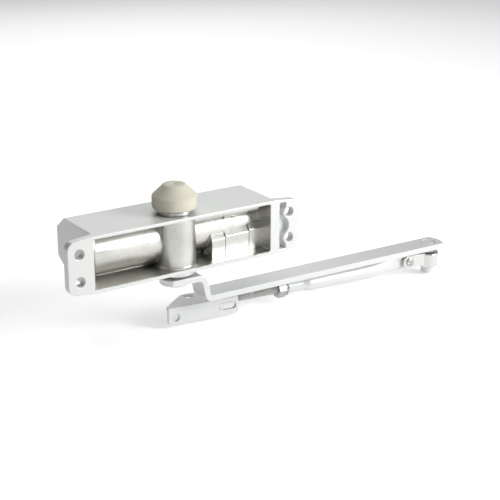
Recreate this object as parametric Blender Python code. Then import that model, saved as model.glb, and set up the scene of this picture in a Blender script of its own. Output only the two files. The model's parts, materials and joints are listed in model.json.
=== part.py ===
"""Overhead rack-and-pinion door closer with a folded two-piece arm, held as it hangs on its door fixing.

The origin is the centre of the four fixing holes on the mounting plane. The mounting face looks towards -Y,
the body runs along X, and +Z is up. All sizes are in metres.
"""

import math

import bmesh
import bpy
from mathutils import Vector

# Clearances
GAP = 0.0003
RUNNING = 0.00006
MESH_BACKLASH = 0.00025

# Housing casting
BODY_LENGTH = 0.1416
BODY_DEPTH = 0.0573
BODY_HEIGHT = 0.0398
TOP_FLAT_DEPTH = 0.0455
TOP_CHAMFER_DROP = 0.0088
BOTTOM_CHAMFER_RISE = 0.0102
BOTTOM_EDGE_RISE = 0.0031
EDGE_RADIUS = 0.0012
HOLE_SPACING_X = 0.165
HOLE_SPACING_Z = 0.019
HOLE_RADIUS = 0.0035
EAR_REACH = 0.0085
EAR_THICKNESS = 0.006
EAR_EDGE_DROP = 0.0022
EAR_CORNER = 0.0055
WALL_TOP = 0.0024
WALL_BOTTOM = 0.0028
LEFT_WALL = 0.0033
RIGHT_WALL = 0.0042
LEFT_MOUTH_STEP = 0.0044
POCKET_DEPTH = 0.0245
EAR_RECESS_DEPTH = 0.004
RECESS_RIM = 0.005
RECESS_START = 0.0742
RECESS_SLOPE = 0.0016
RECESS_SHOULDER = 0.0028
RECESS_CREST = 0.0002
RECESS_CREST_LIFT = 0.0035
LEFT_MOUTH_FLARE = 0.0011

# Spring tube and hydraulic side cast into the housing
BORE_RADIUS = 0.012
TUBE_RADIUS = 0.0173
BORE_AXIS_Y = 0.029
BORE_BLIND_WALL = 0.0048
BORE_FRONT_Y = 0.0137
BORE_STEP_Y = 0.0145
BORE_STEP_X = 0.0446
END_GAP_X = 0.0608
END_GAP_Y = 0.0155
RIB_FRONT_Y = 0.006
RIB_END_X = 0.0613
RIB_HEIGHT = 0.0062
RIB_ROUND = 0.0048
RIB_STEPS = ((0.0318, 0.0006), (0.0525, 0.0003), (RIB_END_X, 0.0))
VALVE_BOSS_FRONT_Y = 0.011
VALVE_BOSS_START_X = 0.0249
VALVE_BOSS_FLAT_TOP_Z = -0.0046
VALVE_BOSS_BACK_TOP_Z = -0.0006
VALVE_GROOVE_X = (0.036, 0.0556)
VALVE_GROOVE_WIDTH = 0.0012
VALVE_GROOVE_DEPTH = 0.0006
VALVE_GROOVE_LIFT = 0.0012
VALVE_BOSS_EDGE = 0.0012

# Pinion stack
PINION_X = -0.00167
PINION_Y = 0.01639
BOSS_RADIUS = 0.0142
BOSS_FOOT_FLARE = 0.0013
PINION_TEETH = 12
GEAR_MODULE = 0.00125
PRESSURE_ANGLE = math.radians(25)
GEAR_HALF_HEIGHT = 0.012
JOURNAL_RADIUS = 0.0068
SQUARE_SIDE = 0.0094
BEARING_HEIGHT = 0.0045
NUT_SPIGOT_RADIUS = 0.0110
NUT_SPIGOT_HEIGHT = 0.0027
NUT_BORE_RADIUS = 0.0088
UPPER_NUT_RADIUS = 0.0123
UPPER_NUT_FLANGE = 0.0031
LOWER_NUT_RADIUS = 0.0140
LOWER_NUT_FLANGE = 0.0033

# Plastic cap over the upper square end
CAP_RADIUS = 0.0156
CAP_CHAMFER = 0.0012
CAP_BAND_HEIGHT = 0.0081
CAP_CONE_HEIGHT = 0.0074
CAP_TOP_RADIUS = 0.0075
CAP_WALL = 0.0018
CAP_DIMPLE_RADIUS = 0.0016
CAP_DIMPLE_DEPTH = 0.0008
SOCKET_WALL = 0.002

# Piston, spring and closures in the bore
PISTON_TRAVEL = math.pi * PINION_TEETH * GEAR_MODULE / 2
PISTON_HEAD = 0.010
RACK_EDGE = 0.0018
SPRING_WIRE = 0.0016
SPRING_COILS = 5
PLUG_LENGTH = 0.0095
PLUG_SOCKET_FLATS = 0.0102
ORING_WIDTH = 0.0018
ORING_DEPTH = 0.0012
VALVE_RADIUS = 0.0026
VALVE_LENGTH = 0.012
CLOSING_VALVE_Y = 0.0152
CLOSING_VALVE_Z = -0.0120
LATCHING_VALVE_Y = 0.0435
LATCHING_VALVE_Z = 0.0115

# Main arm
ARM_ANGLE = math.radians(-1.35)
ARM_LENGTH = 0.2264
ARM_WIDTH = 0.0182
ARM_THICKNESS = 0.0044
ARM_DROP_FROM_BODY = 0.00684
ARM_JOGGLE_DROP = 0.0165
JOGGLE_TOP_S = 0.0177
JOGGLE_BOTTOM_S = 0.0214
JOGGLE_TOP_RADIUS = 0.0058
JOGGLE_BOTTOM_RADIUS = 0.0035
HUB_NOSE = 0.0117
HUB_NOSE_CORNER = 0.0071
ARM_TIP = 0.0109
ARM_TIP_CORNER = 0.0076
ARM_SCREW_RADIUS = 0.0080
ARM_SCREW_HEAD = 0.0013
ARM_SCREW_SHANK = 0.0025
ARM_SCREW_LENGTH = 0.012
ARM_SCREW_SOCKET_FLATS = 0.0040
ARM_SCREW_SOCKET_DEPTH = 0.0009

# Elbow
RIVET_HEAD_RADIUS = 0.00495
RIVET_HEAD_DEPTH = 0.0016
RIVET_RADIUS = 0.0035
RIVET_STUB_RADIUS = 0.0049
RIVET_STUB_HEIGHT = 0.0064
RIVET_STUB_BEVEL = 0.0015
WASHER_RADIUS = 0.0060
WASHER_THICKNESS = 0.0025
KNUCKLE_RADIUS = 0.0084
KNUCKLE_HEIGHT = 0.0111
CHEEK_HEIGHT = 0.0098
CHEEK_THICKNESS = 0.0026
CHEEK_CLEARANCE = 0.0004
CHEEK_END = 0.0263
CHEEK_ROUND = 0.0044
HINGE_LIFT = 0.0015
HINGE_S = 0.0205
HINGE_RADIUS = 0.0020
HINGE_HEAD_RADIUS = 0.0034
HINGE_HEAD_HEIGHT = 0.0011
HINGE_HEAD_EDGE = 0.0005
HINGE_CROWN_RADIUS = 0.0020
HINGE_NUT_FLATS = 0.0070
HINGE_NUT_THICKNESS = 0.0024
CROSS_SLOT = 0.0007
CROSS_DEPTH = 0.0006

# Forearm
FOREARM_ANGLE = math.radians(180 - 3.53)
TUBE_OUTER = 0.0064
TUBE_INNER = 0.0047
FLAT_START_S = 0.0290
FLAT_END_S = 0.0600
FLAT_SQUARENESS = 0.55
TONGUE_THICKNESS = 0.0050
TONGUE_HEIGHT = 0.0112
TONGUE_DROP = 0.0004
TONGUE_TIP_HALF = 0.0018
TONGUE_ROUND = 0.0016
TONGUE_ROUND_HALF = 0.0045
TUBE_STRAIGHT_END_S = 0.1110
TUBE_TAPER_END_S = 0.1170
NECK_RADIUS = 0.0050
NECK_SWELL = 0.0006
NECK_END_S = 0.1295
LOCK_WASHER_RADIUS = 0.0066
LOCK_WASHER_THICKNESS = 0.0016
LOCK_NUT_FLATS = 0.0130
LOCK_NUT_THICKNESS = 0.0065
LOCK_NUT_CHAMFER = 0.0006
ROD_RADIUS = 0.0039
ROD_THREAD_PITCH = 0.00125
ROD_START_S = 0.1000
EYE_RADIUS = 0.0046
EYE_THICKNESS = 0.0030
EYE_DROP = 0.0008
EYE_NECK_LENGTH = 0.0188
EYE_NECK_HALF_WIDTH = 0.0031
FOREARM_DROP = 0.0005
BRACKET_PIVOT_S = 0.1922

# Foot bracket, in the bracket's own directions: along its plate, and away from the plate's face
BRACKET_LENGTH = 0.0555
BRACKET_HEIGHT = 0.0132
BRACKET_THICKNESS = 0.0025
BRACKET_PIVOT_ALONG = 0.0368
BRACKET_PIVOT_AWAY = 0.0076
BRACKET_PLATE_TURN = math.radians(-3.91)
PLATE_CORNER = 0.0025
FOLD_CORNER = 0.0006
SLOT_ROUND = 0.0027
BRACKET_HOLE_ALONG = 0.0055
BRACKET_HOLE_DROP = 0.0075
BRACKET_HOLE_RADIUS = 0.0031
SLOT_START = 0.0403
SLOT_END = 0.0538
SLOT_HEIGHT = 0.0055
SLOT_DROP = 0.0063
FLANGE_DEPTH = 0.0218
FLANGE_SLANT = 0.0193
FLANGE_HOLE_ALONG = 0.0235
FLANGE_HOLE_AWAY = 0.0168
FLANGE_HOLE_RADIUS = 0.0035
BRACKET_RIVET_RADIUS = 0.0022
BRACKET_RIVET_HEAD_RADIUS = 0.0040
BRACKET_RIVET_HEAD = 0.0008

SILVER_PAINT = ((0.62, 0.63, 0.62), 0.38, 0.7)
CAP_PLASTIC = ((0.55, 0.53, 0.44), 0.5, 0.0)
ZINC_STEEL = ((0.66, 0.66, 0.65), 0.32, 1.0)
MACHINED_STEEL = ((0.30, 0.30, 0.31), 0.35, 1.0)
VALVE_BRASS = ((0.62, 0.48, 0.22), 0.35, 1.0)
SEAL_RUBBER = ((0.02, 0.02, 0.02), 0.7, 0.0)

SEGMENTS_LARGE = 48
SEGMENTS_MEDIUM = 32
SEGMENTS_SMALL = 24
SEGMENTS_HOLE = 20
SMOOTH_ANGLE = math.radians(32)
CORNER_STEPS = 4
OVERLAP = 0.001

HALF_HEIGHT = BODY_HEIGHT / 2
HALF_LENGTH = BODY_LENGTH / 2
PITCH_RADIUS = PINION_TEETH * GEAR_MODULE / 2
GEAR_ADDENDUM = GEAR_MODULE
GEAR_DEDENDUM = 1.25 * GEAR_MODULE
GEAR_TIP_RADIUS = PITCH_RADIUS + GEAR_ADDENDUM
GEAR_ROOT_RADIUS = PITCH_RADIUS - GEAR_DEDENDUM
CHAMBER_RADIUS = GEAR_TIP_RADIUS + 2 * GAP
BEARING_OUTER = CHAMBER_RADIUS - GAP / 2
RACK_PITCH_Y = PINION_Y + PITCH_RADIUS
RACK_TIP_AWAY = BORE_AXIS_Y - RACK_PITCH_Y + GEAR_ADDENDUM
RACK_HALF_HEIGHT = math.sqrt(BORE_RADIUS ** 2 - RACK_TIP_AWAY ** 2) - RACK_EDGE
BLIND_X = -HALF_LENGTH + BORE_BLIND_WALL
PLUG_INNER_X = HALF_LENGTH - PLUG_LENGTH
CAP_BOTTOM_Z = HALF_HEIGHT + UPPER_NUT_FLANGE + GAP
CAP_TOP_Z = CAP_BOTTOM_Z + CAP_CHAMFER + CAP_BAND_HEIGHT + CAP_CONE_HEIGHT
HUB_TOP_Z = -HALF_HEIGHT - ARM_DROP_FROM_BODY
HUB_BOTTOM_Z = HUB_TOP_Z - ARM_THICKNESS
BAR_TOP_Z = HUB_TOP_Z - ARM_JOGGLE_DROP
BAR_BOTTOM_Z = BAR_TOP_Z - ARM_THICKNESS
KNUCKLE_TOP_Z = BAR_BOTTOM_Z - GAP - WASHER_THICKNESS - 2 * GAP
KNUCKLE_BOTTOM_Z = KNUCKLE_TOP_Z - KNUCKLE_HEIGHT
HINGE_Z = (KNUCKLE_TOP_Z + KNUCKLE_BOTTOM_Z) / 2 + HINGE_LIFT
TUBE_DROP = HINGE_LIFT + FOREARM_DROP
CHEEK_GAP = TONGUE_THICKNESS + 2 * CHEEK_CLEARANCE


def material(name, colour, roughness, metallic):
    made = bpy.data.materials.new(name)
    made.use_nodes = True
    shader = made.node_tree.nodes["Principled BSDF"]
    shader.inputs["Base Color"].default_value = (*colour, 1)
    shader.inputs["Roughness"].default_value = roughness
    shader.inputs["Metallic"].default_value = metallic
    made.diffuse_color = (*colour, 1)
    return made


def finish(name, bm, look=None, smooth=True):
    """Turns a bmesh into a closed object facing outwards, shaded smooth with its sharp edges kept."""
    bmesh.ops.remove_doubles(bm, verts=bm.verts, dist=1e-7)
    bmesh.ops.recalc_face_normals(bm, faces=bm.faces)
    mesh = bpy.data.meshes.new(name)
    bm.to_mesh(mesh)
    bm.free()
    made = bpy.data.objects.new(name, mesh)
    bpy.context.scene.collection.objects.link(made)
    if look:
        mesh.materials.append(look)
    if smooth:
        mesh.shade_smooth()
        mesh.set_sharp_from_angle(angle=SMOOTH_ANGLE)
    return made


def prism(name, outline, low, high, across="Z", look=None):
    """An outline of (a, b) points drawn out from low to high along one axis."""
    place = {
        "X": lambda a, b, c: (c, a, b),
        "Y": lambda a, b, c: (a, c, b),
        "Z": lambda a, b, c: (a, b, c),
    }[across]
    bm = bmesh.new()
    near = [bm.verts.new(place(a, b, low)) for a, b in outline]
    far = [bm.verts.new(place(a, b, high)) for a, b in outline]
    bm.faces.new(near)
    bm.faces.new(list(reversed(far)))
    for i in range(len(outline)):
        j = (i + 1) % len(outline)
        bm.faces.new((near[j], near[i], far[i], far[j]))
    return finish(name, bm, look)


def lathe(name, profile, segments, along="Z", look=None):
    """A profile of (radius, distance) points turned about one axis; radius 0 closes an end on the axis."""
    place = {
        "X": lambda r, c, s, d: (d, r * c, r * s),
        "Y": lambda r, c, s, d: (r * c, d, r * s),
        "Z": lambda r, c, s, d: (r * c, r * s, d),
    }[along]
    bm = bmesh.new()
    rings = []
    for radius, distance in profile:
        if radius == 0:
            rings.append([bm.verts.new(place(0, 1, 0, distance))])
            continue
        turns = [2 * math.pi * i / segments for i in range(segments)]
        rings.append([bm.verts.new(place(radius, math.cos(t), math.sin(t), distance)) for t in turns])
    closed = profile[0][0] > 0
    pairs = list(zip(rings, rings[1:])) + ([(rings[-1], rings[0])] if closed else [])
    for first, second in pairs:
        for i in range(segments):
            j = (i + 1) % segments
            near = (first[i % len(first)], first[j % len(first)])
            far = (second[j % len(second)], second[i % len(second)])
            corners = [*near, *far]
            distinct = list(dict.fromkeys(corners))
            if len(distinct) > 2:
                bm.faces.new(distinct)
    return finish(name, bm, look)


def block(name, low, high, look=None):
    outline = [(low[0], low[1]), (high[0], low[1]), (high[0], high[1]), (low[0], high[1])]
    return prism(name, outline, low[2], high[2], "Z", look)


def rounded(corners, steps=CORNER_STEPS):
    """A closed outline from (a, b, radius) corners, each with its corner turned through that radius."""
    points = []
    for i, (a, b, radius) in enumerate(corners):
        here = Vector((a, b))
        if radius == 0:
            points.append((a, b))
            continue
        before = (Vector(corners[i - 1][:2]) - here).normalized()
        after = (Vector(corners[(i + 1) % len(corners)][:2]) - here).normalized()
        half = before.angle(after) / 2
        centre = here + (before + after).normalized() * (radius / math.sin(half))
        start = here + before * (radius / math.tan(half)) - centre
        end = here + after * (radius / math.tan(half)) - centre
        turn = start.angle_signed(end)
        for k in range(steps + 1):
            part = -turn * k / steps
            cosine = math.cos(part)
            sine = math.sin(part)
            across = start.x * cosine - start.y * sine
            points.append((centre.x + across, centre.y + start.x * sine + start.y * cosine))
    return points


def arc_end(tip, corner, half_width, steps=8):
    """Points from (corner, -half_width) round the tip to (corner, +half_width), on one circle."""
    rise = abs(tip - corner)
    radius = (half_width ** 2 + rise ** 2) / (2 * rise)
    side = 1 if tip > corner else -1
    centre = tip - side * radius
    reach = math.asin(half_width / radius)
    turns = [-reach + 2 * reach * k / steps for k in range(steps + 1)]
    return [(centre + side * radius * math.cos(t), radius * math.sin(t)) for t in turns]


def circle(a, b, radius, segments):
    turns = [2 * math.pi * (i + 0.5) / segments for i in range(segments)]
    return [(a + radius * math.cos(t), b + radius * math.sin(t)) for t in turns]


def hexagon(a, b, flats):
    reach = flats / math.sqrt(3)
    return [(a + reach * math.cos(math.pi * k / 3), b + reach * math.sin(math.pi * k / 3)) for k in range(6)]


def square(side):
    half = side / 2
    return [(-half, -half), (half, -half), (half, half), (-half, half)]


def combine(target, tool, operation):
    """Adds a Boolean to the target; the tool stays in the scene unrendered, in the target's own frame."""
    tool.name = f"{target.name}_{operation.lower()}_{len(target.modifiers)}"
    tool.hide_render = True
    tool.display_type = "WIRE"
    tool.parent = target
    tool.data.materials.clear()
    added = target.modifiers.new(tool.name, "BOOLEAN")
    added.operation = operation
    added.solver = "EXACT"
    added.object = tool
    return target


def cut(target, *tools):
    for tool in tools:
        combine(target, tool, "DIFFERENCE")
    return target


def join(target, *tools):
    for tool in tools:
        combine(target, tool, "UNION")
    return target


def attach(child, parent, location=(0, 0, 0), turn=0):
    child.parent = parent
    child.location = location
    child.rotation_euler = (0, 0, turn)
    return child


def body_section():
    back_top = HALF_HEIGHT - TOP_CHAMFER_DROP
    back_bottom = -HALF_HEIGHT + BOTTOM_CHAMFER_RISE
    return rounded(
        [
            (0, -HALF_HEIGHT, 0),
            (0, HALF_HEIGHT, 0),
            (TOP_FLAT_DEPTH, HALF_HEIGHT, EDGE_RADIUS),
            (BODY_DEPTH, back_top, EDGE_RADIUS),
            (BODY_DEPTH, back_bottom, EDGE_RADIUS),
            (TOP_FLAT_DEPTH, -HALF_HEIGHT + BOTTOM_EDGE_RISE, 0),
            (TOP_FLAT_DEPTH - BOTTOM_EDGE_RISE / 2, -HALF_HEIGHT, 0),
        ],
        steps=2,
    )


def ear_outline(side):
    """One fixing ear, from inside the body's end out round the two holes."""
    reach = HOLE_SPACING_X / 2 + EAR_REACH
    inner = HALF_LENGTH - 3 * OVERLAP
    shoulder = HALF_LENGTH + OVERLAP
    low = HALF_HEIGHT - EAR_EDGE_DROP
    corners = [
        (side * inner, -HALF_HEIGHT, 0),
        (side * shoulder, -HALF_HEIGHT, 0),
        (side * reach, -low, EAR_CORNER),
        (side * reach, low, EAR_CORNER),
        (side * shoulder, HALF_HEIGHT, 0),
        (side * inner, HALF_HEIGHT, 0),
    ]
    return rounded(corners)


def ear_recess():
    """The shallow casting recess inside the right ear, its outer edge waved round the two fixing bosses."""
    middle = HOLE_SPACING_X / 2
    hole = HOLE_SPACING_Z / 2
    low = HALF_HEIGHT - WALL_BOTTOM
    rim = []
    for degrees in (125, 155, 180, 205, 235):
        turn = math.radians(degrees)
        rim.append((middle + RECESS_RIM * math.cos(turn), hole + RECESS_RIM * math.sin(turn)))
    start = Vector(rim[-1])
    bend = Vector((middle - RECESS_CREST, RECESS_CREST_LIFT))
    crest = Vector((middle - RECESS_CREST, 0))
    dip = []
    for k in range(1, CORNER_STEPS + 1):
        part = k / CORNER_STEPS
        point = start * (1 - part) ** 2 + bend * (2 * part * (1 - part)) + crest * part ** 2
        dip.append((point.x, point.y))
    upper = [(middle - RECESS_SHOULDER, low)] + rim + dip
    lower = [(a, -b) for a, b in reversed(upper[:-1])]
    inner = RECESS_START + RECESS_SLOPE
    return [(inner, low)] + upper + lower + [(inner, -low)]


def make_housing(look):
    mouth_left = -HALF_LENGTH - LEFT_MOUTH_FLARE
    inner_left = mouth_left + LEFT_MOUTH_STEP
    inner_right = HALF_LENGTH - RIGHT_WALL
    low = -HALF_HEIGHT + WALL_BOTTOM
    high = HALF_HEIGHT - WALL_TOP
    housing = prism("housing", body_section(), -HALF_LENGTH, HALF_LENGTH, "X", look)
    join(
        housing,
        prism("ear", ear_outline(-1), 0, EAR_THICKNESS, "Y"),
        prism("ear", ear_outline(1), 0, EAR_THICKNESS, "Y"),
    )
    pocket = [
        (mouth_left, -OVERLAP),
        (mouth_left, EAR_THICKNESS / 3),
        (inner_left, EAR_THICKNESS + OVERLAP),
        (inner_left, POCKET_DEPTH),
        (inner_right, POCKET_DEPTH),
        (inner_right, -OVERLAP),
    ]
    cut(housing, prism("pocket", pocket, low, high, "Z"))
    wall = WALL_TOP / 2
    boss_back = POCKET_DEPTH - 2 * OVERLAP

    def boss_outline(rise, inset):
        return rounded(
            [
                (VALVE_BOSS_FRONT_Y + inset, low - wall, 0),
                (VALVE_BOSS_FRONT_Y + inset, VALVE_BOSS_FLAT_TOP_Z + rise, VALVE_BOSS_EDGE),
                (BORE_FRONT_Y + OVERLAP / 2, VALVE_BOSS_BACK_TOP_Z + rise, 0),
                (boss_back, VALVE_BOSS_BACK_TOP_Z + rise, 0),
                (boss_back, low - wall, 0),
            ]
        )

    half_groove = VALVE_GROOVE_WIDTH / 2
    starts = [VALVE_BOSS_START_X] + [x + half_groove - GAP for x in VALVE_GROOVE_X]
    ends = [x - half_groove + GAP for x in VALVE_GROOVE_X] + [inner_right + OVERLAP]
    lengths = [
        prism("boss", boss_outline(i * VALVE_GROOVE_LIFT, 0), start, end, "X")
        for i, (start, end) in enumerate(zip(starts, ends))
    ]
    grooves = [
        prism("groove", boss_outline(0, VALVE_GROOVE_DEPTH), x - half_groove, x + half_groove, "X")
        for x in VALVE_GROOVE_X
    ]
    ribs = []
    rib_start = PINION_X
    for rib_end, drop in RIB_STEPS:
        rib_low = high - RIB_HEIGHT - drop
        outline = rounded(
            [
                (RIB_FRONT_Y, high + wall, 0),
                (RIB_FRONT_Y, rib_low, RIB_ROUND),
                (POCKET_DEPTH - OVERLAP, rib_low, 0),
                (POCKET_DEPTH - OVERLAP, high + wall, 0),
            ]
        )
        ribs.append(prism("rib", outline, rib_start, rib_end, "X"))
        rib_start = rib_end - GAP
    join(
        housing,
        lathe(
            "bore_wall",
            [
                (0, inner_left - OVERLAP),
                (TUBE_RADIUS, inner_left - OVERLAP),
                (TUBE_RADIUS, PINION_X),
                (BORE_AXIS_Y - BORE_FRONT_Y, PINION_X),
                (BORE_AXIS_Y - BORE_FRONT_Y, BORE_STEP_X),
                (BORE_AXIS_Y - BORE_STEP_Y, BORE_STEP_X),
                (BORE_AXIS_Y - BORE_STEP_Y, END_GAP_X),
                (BORE_AXIS_Y - END_GAP_Y, END_GAP_X),
                (BORE_AXIS_Y - END_GAP_Y, inner_right + OVERLAP),
                (0, inner_right + OVERLAP),
            ],
            SEGMENTS_LARGE,
            "X",
        ),
    )
    tube = housing.modifiers[-1].object
    tube.location = (0, BORE_AXIS_Y, 0)
    boss = lathe(
        "pinion_boss",
        [
            (0, low - wall),
            (BOSS_RADIUS + BOSS_FOOT_FLARE, low - wall),
            (BOSS_RADIUS + BOSS_FOOT_FLARE, low),
            (BOSS_RADIUS + BOSS_FOOT_FLARE / 3, low + BOSS_FOOT_FLARE / 3),
            (BOSS_RADIUS, low + BOSS_FOOT_FLARE),
            (BOSS_RADIUS, high + wall),
            (0, high + wall),
        ],
        SEGMENTS_LARGE,
    )
    boss.location = (PINION_X, PINION_Y, 0)
    join(housing, boss, *ribs, *lengths, *grooves)
    hole_rows = [
        prism(
            "fixing",
            circle(side * HOLE_SPACING_X / 2, row * HOLE_SPACING_Z / 2, HOLE_RADIUS, SEGMENTS_HOLE),
            -OVERLAP,
            EAR_THICKNESS + OVERLAP,
            "Y",
        )
        for side in (-1, 1)
        for row in (-1, 1)
    ]
    bore = lathe(
        "bore",
        [
            (0, BLIND_X),
            (BORE_RADIUS, BLIND_X),
            (BORE_RADIUS, HALF_LENGTH + OVERLAP),
            (0, HALF_LENGTH + OVERLAP),
        ],
        SEGMENTS_LARGE,
        "X",
    )
    bore.location = (0, BORE_AXIS_Y, 0)
    chamber_end = HALF_HEIGHT + OVERLAP
    chamber_step = HALF_HEIGHT - NUT_SPIGOT_HEIGHT - GAP
    chamber = lathe(
        "chamber",
        [
            (0, -chamber_end),
            (NUT_SPIGOT_RADIUS + GAP / 2, -chamber_end),
            (NUT_SPIGOT_RADIUS + GAP / 2, -chamber_step),
            (CHAMBER_RADIUS, -chamber_step),
            (CHAMBER_RADIUS, chamber_step),
            (NUT_SPIGOT_RADIUS + GAP / 2, chamber_step),
            (NUT_SPIGOT_RADIUS + GAP / 2, chamber_end),
            (0, chamber_end),
        ],
        SEGMENTS_LARGE,
    )
    chamber.location = (PINION_X, PINION_Y, 0)
    valves = []
    for y, z in ((CLOSING_VALVE_Y, CLOSING_VALVE_Z), (LATCHING_VALVE_Y, LATCHING_VALVE_Z)):
        valves.append(
            prism(
                "valve_hole",
                circle(y, z, VALVE_RADIUS + GAP / 2, SEGMENTS_HOLE),
                HALF_LENGTH - VALVE_LENGTH - 2 * OVERLAP,
                HALF_LENGTH + OVERLAP,
                "X",
            )
        )
    recess = prism("recess", ear_recess(), -OVERLAP, EAR_RECESS_DEPTH, "Y")
    slope_end = RECESS_START + RECESS_SLOPE
    slope = [
        (RECESS_START - RECESS_SLOPE / EAR_RECESS_DEPTH * OVERLAP, -OVERLAP),
        (slope_end, EAR_RECESS_DEPTH),
        (slope_end + OVERLAP, EAR_RECESS_DEPTH),
        (slope_end + OVERLAP, -OVERLAP),
    ]
    recess_low = HALF_HEIGHT - WALL_BOTTOM
    recess_side = prism("recess_side", slope, -recess_low, recess_low, "Z")
    cut(housing, recess, recess_side, *hole_rows, bore, chamber, *valves)
    return housing


def involute(base, radius):
    roll = math.sqrt((radius / base) ** 2 - 1)
    return roll - math.atan(roll)


def gear_outline():
    """Involute teeth with straight flanks below the base circle, one tooth centred on -Y."""
    base = PITCH_RADIUS * math.cos(PRESSURE_ANGLE)
    tooth = (math.pi * GEAR_MODULE / 2 - MESH_BACKLASH) / (2 * PITCH_RADIUS)
    at_pitch = involute(base, PITCH_RADIUS)
    radii = [base + (GEAR_TIP_RADIUS - base) * k / 4 for k in range(5)]
    points = []
    for i in range(PINION_TEETH):
        middle = 2 * math.pi * i / PINION_TEETH - math.pi / 2
        half = [tooth + at_pitch - involute(base, radius) for radius in radii]
        rising = [(GEAR_ROOT_RADIUS, middle - half[0])]
        rising += [(radius, middle - angle) for radius, angle in zip(radii, half)]
        falling = [(radius, 2 * middle - angle) for radius, angle in reversed(rising)]
        points += [(radius * math.cos(t), radius * math.sin(t)) for radius, t in rising + falling]
    return points


def make_pinion(look):
    top = CAP_BOTTOM_Z - GAP
    pinion = prism("pinion", gear_outline(), -GEAR_HALF_HEIGHT, GEAR_HALF_HEIGHT, "Z", look)
    pinion.location = (PINION_X, PINION_Y, 0)
    journal_low = HUB_TOP_Z + GAP
    join(
        pinion,
        lathe(
            "journal",
            [
                (0, journal_low),
                (JOURNAL_RADIUS - GAP, journal_low),
                (JOURNAL_RADIUS, journal_low + GAP),
                (JOURNAL_RADIUS, -GEAR_HALF_HEIGHT + GAP),
                (GEAR_ROOT_RADIUS - GAP, -GEAR_HALF_HEIGHT + GAP),
                (GEAR_ROOT_RADIUS - GAP, GEAR_HALF_HEIGHT - GAP),
                (JOURNAL_RADIUS, GEAR_HALF_HEIGHT - GAP),
                (JOURNAL_RADIUS, top - GAP),
                (JOURNAL_RADIUS - GAP, top),
                (0, top),
            ],
            SEGMENTS_MEDIUM,
        ),
        prism("drive", square(SQUARE_SIDE), top - OVERLAP, CAP_TOP_Z - 3 * CAP_WALL, "Z"),
        prism("drive", square(SQUARE_SIDE), HUB_BOTTOM_Z + GAP, journal_low + OVERLAP, "Z"),
    )
    drive = pinion.modifiers[-1].object
    drive.rotation_euler = (0, 0, ARM_ANGLE)
    cut(
        pinion,
        prism(
            "tapped",
            circle(0, 0, ARM_SCREW_SHANK + GAP / 2, SEGMENTS_HOLE),
            HUB_BOTTOM_Z - OVERLAP,
            HUB_BOTTOM_Z + ARM_SCREW_LENGTH + OVERLAP,
        ),
    )
    return pinion


def make_ring(name, outer, inner, low, high, segments, look):
    ring = lathe(name, [(inner, low), (outer, low), (outer, high), (inner, high)], segments, "Z", look)
    ring.location = (PINION_X, PINION_Y, 0)
    return ring


def make_bearings(look):
    low = GEAR_HALF_HEIGHT + GAP
    high = low + BEARING_HEIGHT
    inner = JOURNAL_RADIUS + RUNNING
    make_ring("upper_bearing", BEARING_OUTER, inner, low, high, SEGMENTS_MEDIUM, look)
    make_ring("lower_bearing", BEARING_OUTER, inner, -high, -low, SEGMENTS_MEDIUM, look)


def make_seals(look):
    inner = JOURNAL_RADIUS + RUNNING
    outer = NUT_BORE_RADIUS - GAP
    low = GEAR_HALF_HEIGHT + BEARING_HEIGHT + 2 * GAP
    high = HALF_HEIGHT
    make_ring("upper_seal", outer, inner, low, high, SEGMENTS_MEDIUM, look)
    make_ring("lower_seal", outer, inner, -high, -low, SEGMENTS_MEDIUM, look)


def make_bearing_nut(name, side, radius, flange, look):
    """A threaded retaining ring: its spigot screws into the casting and its flange stands proud of it."""
    bevel = flange / 5
    spigot = HALF_HEIGHT - NUT_SPIGOT_HEIGHT
    profile = [
        (NUT_BORE_RADIUS, side * spigot),
        (NUT_SPIGOT_RADIUS, side * spigot),
        (NUT_SPIGOT_RADIUS, side * (HALF_HEIGHT + GAP)),
        (radius, side * (HALF_HEIGHT + GAP)),
        (radius, side * (HALF_HEIGHT + flange - bevel)),
        (radius - bevel, side * (HALF_HEIGHT + flange)),
        (NUT_BORE_RADIUS, side * (HALF_HEIGHT + flange)),
    ]
    nut = lathe(name, profile, SEGMENTS_LARGE, "Z", look)
    nut.location = (PINION_X, PINION_Y, 0)
    return nut


def make_cap(pinion, look):
    """A hollow plastic cap with a square socket that grips the pinion's upper end."""
    band_low = CAP_BOTTOM_Z + CAP_CHAMFER
    band_high = band_low + CAP_BAND_HEIGHT
    round_over = CAP_CHAMFER / 2
    inside = CAP_RADIUS - CAP_WALL
    ceiling = CAP_TOP_Z - 2 * CAP_WALL
    profile = [
        (0, ceiling),
        (CAP_TOP_RADIUS - CAP_WALL, ceiling),
        (inside, band_high - CAP_WALL),
        (inside, CAP_BOTTOM_Z),
        (CAP_RADIUS - CAP_CHAMFER, CAP_BOTTOM_Z),
        (CAP_RADIUS, band_low),
        (CAP_RADIUS, band_high - round_over),
        (CAP_RADIUS - round_over, band_high + round_over / 2),
        (CAP_TOP_RADIUS + round_over, CAP_TOP_Z - round_over),
        (CAP_TOP_RADIUS, CAP_TOP_Z),
        (CAP_DIMPLE_RADIUS, CAP_TOP_Z),
        (CAP_DIMPLE_RADIUS / 2, CAP_TOP_Z - CAP_DIMPLE_DEPTH),
        (0, CAP_TOP_Z - CAP_DIMPLE_DEPTH),
    ]
    cap = lathe("pinion_cap", profile, SEGMENTS_LARGE, "Z", look)
    attach(cap, pinion)
    wide = SQUARE_SIDE + 2 * SOCKET_WALL
    join(cap, prism("socket", square(wide), CAP_BOTTOM_Z + OVERLAP, ceiling + CAP_WALL / 2, "Z"))
    cut(cap, prism("socket", square(SQUARE_SIDE + GAP), CAP_BOTTOM_Z - OVERLAP, ceiling - GAP, "Z"))
    return cap


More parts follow.
